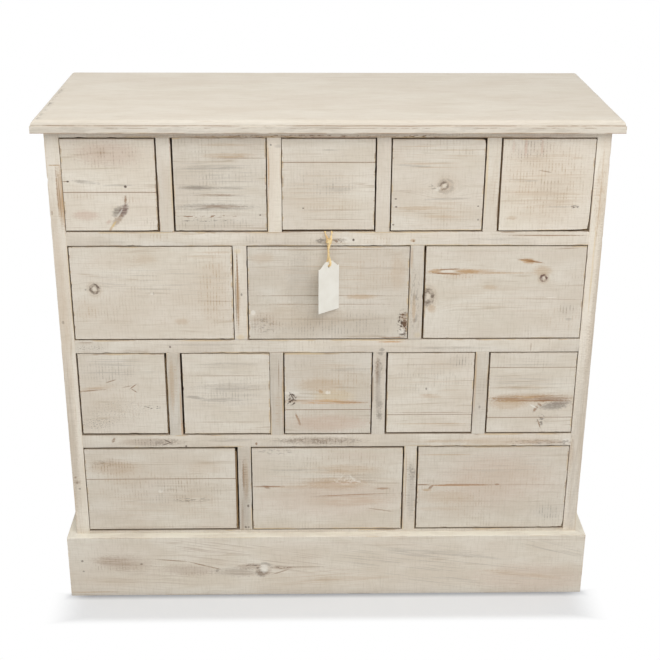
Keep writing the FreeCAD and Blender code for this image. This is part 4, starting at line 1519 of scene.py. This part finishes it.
# %% Make the carcass boards
ARRIS = 0.5 * MM
NICK = 2.6 * MM
RAW_START = FRONT_Y + 16 * MM
CARCASS_SHADES = {
    "side_left": 1.045, "side_right": 1.055, "shelf_1": 1.01, "shelf_2": 1.0, "shelf_3": 0.995,
    "base_board": 0.985, "top_rails": 1.03,
    "divider_r1_1": 1.0, "divider_r1_2": 1.05, "divider_r1_3": 1.0, "divider_r1_4": 1.01,
    "divider_r2_1": 1.02, "divider_r2_2": 0.96, "divider_r3_1": 0.945, "divider_r3_2": 0.945,
    "divider_r3_3": 0.97, "divider_r3_4": 0.965, "divider_r4_1": 0.94, "divider_r4_2": 0.99,
}


def carcass_board(node, grain, seed, cut_axis, spacing, **looks):
    """A carcass board with its front arrises eased and its faces a little uneven."""
    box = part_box(node)
    bm = clean_copy(node)

    def front_arris(edge):
        """True for the long edges round the board's front face."""
        run = edge.verts[1].co - edge.verts[0].co
        level = all(abs(vertex.co.y - box[0].y) < 0.05 * MM for vertex in edge.verts)
        return level and abs(run[cut_axis]) > 0.9 * run.length

    ease_edges(bm, ARRIS, front_arris)
    cut_across(bm, cut_axis, spacing, box[0][cut_axis], box[1][cut_axis])
    settle(bm, box)
    nick_edges(bm, box, cut_axis, seed, NICK)
    piece = finish_piece(bm, f"{node}_board", "cabinet", "whitewashed_pine", node)
    looks.update(shade=CARCASS_SHADES.get(node, 1.02), marks=MARKS.get(node, ()))
    piece.data.materials.append(limewash(f"{node}_wash", box, grain, seed, **looks))
    return piece


for number, node in enumerate(("side_left", "side_right")):
    finish = {"saw": 0.3, "only_front": True, "lines": 0.9, "rub": 0.25, "outer": MARKS[f"{node}_outside"]}
    carcass_board(node, "upright", 3 + number, 2, 7 * MM, **finish)
for number, node in enumerate(("shelf_1", "shelf_2", "shelf_3", "base_board")):
    carcass_board(node, "level", 11 + number, 0, 6 * MM, raw_from=RAW_START)
dividers = sorted(node for node in frame["nodes"] if node.startswith("divider"))
for number, node in enumerate(dividers):
    carcass_board(node, "upright", 21 + number, 2, 6 * MM, raw_from=RAW_START, saw=0.5, lines=0.8)
carcass_board("top_rails", "level", 40, 0, 6 * MM)
print("carcass boards done")

# %% [markdown]
# ## The top board and the plinth
#
# The top board is one wide slab. Its upper edge is rounded over above a small step, on the front
# and on both sides, and its back edge is square. The plinth is three boards, mitred at the front
# corners. The modelled boards have all that, so they are copied, cut into a grid and settled like
# the others.

# %% Top board and plinth
PLINTH_ARRIS = 1.6 * MM


def slab(node, grain, seed, spacings, arris_axis=None, **looks):
    """A wide board, cut both ways."""
    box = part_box(node)
    bm = clean_copy(node)
    if arris_axis is not None:
        outer = {1: box[0].y, 0: box[0].x if box[0].x < 0 else box[1].x}[1 - arris_axis]

        def upper_arris(edge):
            """True for the long upper edge of the board's outer face."""
            high = all(abs(vertex.co.z - box[1].z) < 0.05 * MM for vertex in edge.verts)
            return high and all(abs(vertex.co[1 - arris_axis] - outer) < 0.05 * MM for vertex in edge.verts)

        ease_edges(bm, PLINTH_ARRIS, upper_arris)
    for axis, spacing in spacings:
        cut_across(bm, axis, spacing, box[0][axis], box[1][axis])
    settle(bm, box)
    piece = finish_piece(bm, f"{node}_slab", "cabinet", "whitewashed_pine", node)
    looks["marks"] = MARKS.get(node, ())
    piece.data.materials.append(limewash(f"{node}_wash", box, grain, seed, **looks))
    return piece


STEP_UP = 837.6 * MM
LEDGE_UP = 116.6 * MM


def level_line(tree, up, place, width):
    """A level line at a height: 1 on it and 0 beyond its width."""
    return ramp(tree, calc(tree, "ABSOLUTE", calc(tree, "SUBTRACT", up, place)), width, width * 0.3)


def moulded_edge(tree, surface, parts, point):
    """Dirt and painted shade in the step, mottled wash below it, and wear with painted shade at the lower
    arris.
    """
    up = parts[2]
    not_back = calc(tree, "LESS_THAN", parts[1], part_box("top_board")[1].y - 3 * MM)
    broken = ramp(tree, grain_noise(tree, point, (16.0, 40.0, 40.0), 4.0, 0.68), 0.38, 0.56, 0.15, 1.0)
    lower_broken = ramp(tree, grain_noise(tree, point, (22.0, 90.0, 90.0), 4.0, 0.68), 0.5, 0.6)
    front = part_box("top_board")[0].y
    seen = times(tree, not_back, ramp(tree, parts[1], front + 14 * MM, front + 5 * MM, 0.05, 1.0))
    below = ramp(tree, up, STEP_UP + 0.5 * MM, STEP_UP - 1 * MM)
    mottled = ramp(tree, grain_noise(tree, point, (24.0, 150.0, 150.0), 4.0, 0.65), 0.46, 0.62)
    surface = blend(tree, times(tree, below, mottled, seen, 0.22), surface, TONES["grey"])
    wander = times(tree, grain_noise(tree, point, (20.0, 1.0, 1.0), 2.0), 1.4 * MM)
    line_up = calc(tree, "SUBTRACT", up, wander)
    # The step's inner corner gets a broken dark line: dirt and painted shade of the step together
    step_dirt_and_shade = times(tree, level_line(tree, line_up, STEP_UP - 0.3 * MM, 1.1 * MM), broken, seen)
    second = times(tree, level_line(tree, line_up, STEP_UP - 3.6 * MM, 0.9 * MM), lower_broken, seen)
    surface = blend(tree, times(tree, step_dirt_and_shade, 0.7), surface, TONES["brown"])
    surface = blend(tree, times(tree, second, 0.5), surface, TONES["brown"])
    # The lower arris and the underside go rust brown: wear, and painted shade under the top board
    worn_and_shaded_arris = ramp(tree, up, CARCASS_TOP + 1.8 * MM, CARCASS_TOP + 0.1 * MM)
    return blend(tree, times(tree, worn_and_shaded_arris, broken, 0.75), surface, TONES["rust"])


def painted_ledge_highlight(tree, surface, parts, point):
    """The plinth's upper face is painted paler: a painted highlight where light falls on it from above."""
    lit_ledge = ramp(tree, parts[2], LEDGE_UP, LEDGE_UP + 0.6 * MM)
    uneven = ramp(tree, grain_noise(tree, point, (18.0, 60.0, 60.0), 3.0, 0.6), 0.35, 0.6, 0.3, 0.75)
    return blend(tree, times(tree, lit_ledge, uneven), surface, colour(244, 239, 224))


slab(
    "top_board", "flat", 50, ((0, 9 * MM), (1, 9 * MM)), face="top", saw=0.0, lines=0.55,
    clouds=0.35, shade=0.995, brush=0.15, rub=0.3, extra=moulded_edge,
)
for number, node in enumerate(("plinth_front", "plinth_left", "plinth_right")):
    axis, grain, face = (0, "level", "front") if number == 0 else (1, "deep", "side")
    spacings = ((axis, 8 * MM), (2, 8 * MM))
    finish = {"face": face, "saw": 0.35, "lines": 0.8, "rub": 0.3, "extra": painted_ledge_highlight}
    slab(node, grain, 61 + number, spacings, arris_axis=axis, **finish)
print("top board and plinth done")

# %% [markdown]
# ## Drawer fronts
#
# A drawer front is a short board, or two or three glued edge to edge, so some have a fine open
# seam. The front face starts as a grid, its rim is pushed back round the arris and down the
# sides, and the part behind the laps is extruded from the back face. The grid then carries what
# the eye takes for wood: seams that are real grooves, hollow knots, and arrises that aren't quite
# straight.

# %% Make a drawer front
GRID = 2.4 * MM
FRONT_ARRIS = 0.6 * MM
LAP_DEPTH = 10 * MM
LAP_WIDTH = 12 * MM
SEAM_HALF = 0.6 * MM
SEAM_DEPTH = 0.6 * MM


def push_rim(bm, rim, middle, size, inset, next_inset, back):
    """Extrudes the open rim: its outline grows and it moves back."""
    grown = bmesh.ops.extrude_edge_only(bm, edges=rim)["geom"]
    factors = (
        (size.x - 2 * next_inset) / (size.x - 2 * inset),
        1.0,
        (size.z - 2 * next_inset) / (size.z - 2 * inset),
    )
    bmesh.ops.scale(bm, vec=factors, space=Matrix.Translation(-middle), verts=verts_of(grown))
    bmesh.ops.translate(bm, vec=(0, back, 0), verts=verts_of(grown))
    return open_edges_of(grown)


def snap_rows(bm, start, spacing, seams):
    """Moves the rows of the grid nearest to each seam onto the seam and its two lips."""
    for seam in seams:
        row = round((seam * MM - start) / spacing)
        for offset in (-1, 0, 1):
            for vertex in bm.verts:
                if abs(vertex.co.z - (start + (row + offset) * spacing)) < spacing / 8:
                    vertex.co.z = seam * MM + offset * SEAM_HALF


def extrude_middle(bm, low, high, size):
    """Cuts the flat back face at the laps and extrudes the part between them."""
    lap_y = low.y + LAP_DEPTH
    for place in (low.x + LAP_WIDTH, high.x - LAP_WIDTH):
        back = [f for f in bm.faces if all(abs(v.co.y - lap_y) < 1e-6 for v in f.verts)]
        edges = dict.fromkeys(edge for face in back for edge in face.edges)
        verts = dict.fromkeys(vertex for face in back for vertex in face.verts)
        parts = back + list(edges) + list(verts)
        bmesh.ops.bisect_plane(bm, geom=parts, plane_co=(place, 0, 0), plane_no=(1, 0, 0))
    back = [f for f in bm.faces if all(abs(v.co.y - lap_y) < 1e-6 for v in f.verts)]
    inner = [f for f in back if abs(f.calc_center_median().x - (low.x + high.x) / 2) < size.x / 4]
    grown = bmesh.ops.extrude_face_region(bm, geom=inner)["geom"]
    bmesh.ops.delete(bm, geom=inner, context="FACES_ONLY")
    bmesh.ops.translate(bm, vec=(0, size.y - LAP_DEPTH, 0), verts=verts_of(grown))


def front_shell(box, seams):
    """A drawer front as a closed mesh, with a grid over its face."""
    low, high = box
    size = high - low
    middle = (low + high) / 2
    bm = bmesh.new()
    columns = round(size.x / GRID)
    rows = round(size.z / GRID)
    bmesh.ops.create_grid(bm, x_segments=columns, y_segments=rows, size=0.5)
    bmesh.ops.rotate(bm, cent=(0, 0, 0), matrix=QUARTER_TURN, verts=bm.verts)
    face = (size.x - 2 * FRONT_ARRIS, 1.0, size.z - 2 * FRONT_ARRIS)
    bmesh.ops.scale(bm, vec=face, verts=bm.verts)
    bmesh.ops.translate(bm, vec=(middle.x, low.y, middle.z), verts=bm.verts)
    snap_rows(bm, low.z + FRONT_ARRIS, face[2] / rows, seams)
    rim = [edge for edge in bm.edges if edge.is_boundary]
    turns = [math.radians(turn) for turn in (0, 30, 60, 90)]
    for before, after in zip(turns, turns[1:]):
        inset = FRONT_ARRIS * (1 - math.sin(before))
        next_inset = FRONT_ARRIS * (1 - math.sin(after))
        back = FRONT_ARRIS * (math.cos(before) - math.cos(after))
        rim = push_rim(bm, rim, middle, size, inset, next_inset, back)
    rim = push_rim(bm, rim, middle, size, 0.0, 0.0, LAP_DEPTH - FRONT_ARRIS)
    bmesh.ops.edgeloop_fill(bm, edges=rim)
    extrude_middle(bm, low, high, size)
    bmesh.ops.recalc_face_normals(bm, faces=bm.faces)
    return bm


# %% Shape its face and outline
HOLLOW = 0.7 * MM
HOLLOW_KINDS = ("knot", "crack", "dot")
FACE_WAVE = 0.15 * MM
OUTLINE_WANDER = 0.2
NICK_DEPTH = 2.4
EDGE_POWER = 8


def hollow_at(place, mark):
    """How far a knot, crack or hole sinks the face at a place."""
    turn = math.radians(mark.turn)
    right = place.x - mark.right * MM
    up = place.z - mark.up * MM
    along = (right * math.cos(turn) + up * math.sin(turn)) / (mark.length * MM / 2)
    across = (up * math.cos(turn) - right * math.sin(turn)) / (mark.height * MM / 2)
    return HOLLOW * mark.strength * math.exp(-2.0 * (along * along + across * across))


def shape_front(bm, box, seams, marks, seed, fit, trims):
    """Seams, hollows and an uneven outline, as moves of the grid's vertices."""
    low, high = box
    middle = (low + high) / 2
    half = (high - low) / 2
    for vertex in bm.verts:
        place = vertex.co.copy()
        if abs(place.y - low.y) < 1e-6:
            vertex.co.y += sum(SEAM_DEPTH for seam in seams if abs(place.z - seam * MM) < SEAM_HALF / 2)
            vertex.co.y += sum(hollow_at(place, mark) for mark in marks if mark.kind in HOLLOW_KINDS)
            vertex.co.y += (noise.noise(Vector((place.x * 9, place.z * 22, seed))) + 1) * FACE_WAVE
        # The outline wanders inwards, most at the edges and not at all in the middle
        for axis in (0, 2):
            other = 2 - axis
            reach = (place[axis] - middle[axis]) / half[axis]
            side = 3.0 if reach > 0 else 7.0
            wander = noise.noise(Vector((place[other] * 11 + seed * 3.1, side + axis, seed))) + 1
            nick = max(0.0, noise.noise(Vector((place[other] * 80, side - axis, seed * 1.7))) - 0.4)
            room = fit[axis + (1 if reach > 0 else 0)]
            nick = NICK_DEPTH * nick if place.y < low.y + 2 * MM else 0.0
            pull = (OUTLINE_WANDER * wander + room + nick) * MM
            vertex.co[axis] -= pull * math.copysign(abs(reach) ** EDGE_POWER, reach)
        for right, up, spread, depth in trims:
            corner = Vector((middle.x + right * half.x, place.y, middle.z + up * half.z))
            pull = depth * math.exp(-(((place - corner).length / spread) ** 2))
            vertex.co.x -= right * pull
            vertex.co.z -= up * pull


# How light a front's wash is, and how much less than its modelled size it is on the left, right,
# lower and upper side, in millimetres: no drawer sits quite in the middle of its opening
FRONTS = {
    "drawer_r1c1": (1.035, -0.8, 0.2, 0.5, 0.3),
    "drawer_r1c2": (0.985, 0.4, -0.1, 0.2, -1.4),
    "drawer_r1c3": (1.0, -0.6, -0.4, 1.7, 0.0),
    "drawer_r1c4": (0.995, 0.0, 0.0, 0.1, 0.6),
    "drawer_r1c5": (1.03, 0.4, -0.3, -0.2, 0.1),
    "drawer_r2c1": (1.015, 0.1, -1.0, 0.2, 0.1),
    "drawer_r2c2": (0.97, -0.6, -0.8, -0.1, 0.3),
    "drawer_r2c3": (0.99, 0.3, -0.2, 0.2, 0.0),
    "drawer_r3c1": (1.0, 0.7, 1.1, 1.9, -0.5),
    "drawer_r3c2": (1.0, 0.4, -0.6, 0.9, 0.2),
    "drawer_r3c3": (0.965, -0.1, -0.3, 0.4, -0.7),
    "drawer_r3c4": (1.0, 0.3, 0.0, 1.6, 0.1),
    "drawer_r3c5": (0.99, 0.2, -0.4, 0.8, 0.2),
    "drawer_r4c1": (0.99, 0.0, 1.9, 1.7, 1.9),
    "drawer_r4c2": (0.985, -0.4, 0.0, -0.2, 1.9),
    "drawer_r4c3": (0.975, -0.1, -0.5, 0.8, 0.4),
}
# Corners that are rounded off or worn away: right or left, up or down, how wide, and how deep
TRIMS = {
    "drawer_r1c4": ((1, 1, 5 * MM, 1.3 * MM),),
    "drawer_r1c5": ((1, -1, 60 * MM, 1.2 * MM), (1, -1, 9 * MM, 1.4 * MM)),
    "drawer_r4c3": ((1, -1, 9 * MM, 1.4 * MM),),
    "drawer_r1c1": ((1, -1, 12 * MM, 0.8 * MM),),
}
FRONT_LOOKS = {
    "drawer_r1c4": {"lines": 1.1},
    "drawer_r1c5": {"saw": 1.0, "lines": 0.6},
    "drawer_r1c2": {"lines": 1.2},
}


def drawer_front(body, seed):
    """One drawer front with its own marks."""
    node = f"{body}_front"
    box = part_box(node)
    seams = SEAMS.get(node, ())
    marks = MARKS.get(node, ())
    shade, *fit = FRONTS[body]
    bm = front_shell(box, seams)
    shape_front(bm, box, seams, marks, seed, fit, TRIMS.get(body, ()))
    piece = finish_piece(bm, f"{node}_panel", body, "whitewashed_pine", node)
    looks = {"shade": shade, "raw_from": FRONT_Y + 5 * MM, "marks": marks, "seams": seams}
    looks.update(FRONT_LOOKS.get(body, {}))
    piece.data.materials.append(limewash(f"{node}_wash", box, "level", seed, **looks))
    return piece


for number, body in enumerate(DRAWERS):
    drawer_front(body, 70 + number)
print("drawer fronts done")

# %% [markdown]
# ## Drawer boxes, back panel and small hidden pieces
#
# The drawer boxes are bare planed pine, the back is thin plywood, and the nails are dull wire.
# Their modelled shapes are right as they are, so they only get materials.

# %% Bare pine, plywood and steel
def bare_pine(name, grain, seed):
    """Planed pine without a finish: straw yellow with darker late wood."""
    material, tree, shader = new_material(name)
    parts = separate(tree, add_node(tree, "TexCoord").outputs["Object"])
    offset = (seed * 1.3, seed * 0.7, seed * 2.1)
    point = calc_vector(tree, "ADD", picked(tree, parts, GRAINS[grain]), offset)
    figure = {socket.name: socket for socket in use_group(tree, PINE_FIGURE, point, 0.0)}
    surface = blend(tree, figure["Cloud"], RAW, colour(216, 188, 144))
    surface = blend(tree, times(tree, figure["Streaks"], 0.5), surface, RAW_DARK)
    surface = blend(tree, times(tree, figure["Lines"], 0.8), surface, RAW_DARK)
    fibre = figure["Fibre"]
    finish_shader(tree, shader, surface, ramp(tree, fibre, 0.2, 0.8, 0.5, 0.75), fibre, 0.35, 0.3 * MM)
    return material


def dull_steel():
    """Wire nails gone dull."""
    material, tree, shader = new_material("dull_steel")
    place = add_node(tree, "TexCoord").outputs["Object"]
    spots = grain_noise(tree, place, (900.0, 900.0, 900.0), 3.0)
    surface = blend(tree, ramp(tree, spots, 0.4, 0.7), colour(132, 128, 122), colour(96, 84, 72))
    shader.inputs["Metallic"].default_value = 0.9
    finish_shader(tree, shader, surface, ramp(tree, spots, 0.2, 0.8, 0.4, 0.65), spots, 0.3, 0.1 * MM)
    return material


def dress(node, material):
    """Puts a material on a modelled piece."""
    mesh = frame["nodes"][node].data
    mesh.materials.clear()
    mesh.materials.append(material)


BOX_PINE = bare_pine("drawer_box_pine", "deep", 5)
for body in DRAWERS:
    dress(f"{body}_box", BOX_PINE)
dress("glue_blocks", bare_pine("glue_block_pine", "level", 9))
dress("back_panel", bare_pine("back_plywood", "upright", 13))
dress("back_panel_nails", dull_steel())

# %% [markdown]
# ## Raffia and card
#
# Raffia shines a little along its fibres and goes from straw to tan. The tag is uncoated card, left
# blank, with a faint tooth.

# %% Raffia and card materials
def raffia_material():
    """Dry palm fibre: straw and tan threads along the strand."""
    material, tree, shader = new_material("raffia")
    place = add_node(tree, "TexCoord").outputs["Object"]
    threads = grain_noise(tree, place, (2400.0, 2400.0, 150.0), 3.0)
    patches = grain_noise(tree, place, (60.0, 60.0, 90.0), 2.0)
    surface = blend(tree, ramp(tree, threads, 0.4, 0.7), colour(250, 226, 172), colour(226, 186, 122))
    surface = blend(tree, ramp(tree, patches, 0.55, 0.75, 0.0, 0.5), surface, colour(188, 146, 92))
    finish_shader(tree, shader, surface, ramp(tree, threads, 0.2, 0.8, 0.5, 0.75), threads, 0.6, 0.3 * MM)
    return material


def card_material():
    """Uncoated card: almost white, with a faint tooth."""
    material, tree, shader = new_material("tag_card")
    place = add_node(tree, "TexCoord").outputs["Object"]
    tooth = grain_noise(tree, place, (1400.0, 1400.0, 1400.0), 4.0, 0.6)
    clouds = grain_noise(tree, place, (60.0, 60.0, 60.0), 2.0)
    surface = blend(tree, ramp(tree, clouds, 0.3, 0.7), colour(240, 237, 227), colour(235, 231, 220))
    finish_shader(tree, shader, surface, ramp(tree, tooth, 0.2, 0.8, 0.7, 0.9), tooth, 0.2, 0.1 * MM)
    return material


RAFFIA = raffia_material()
loop.data.materials.append(RAFFIA)
knot.data.materials.append(RAFFIA)
dress("hang_tag", card_material())
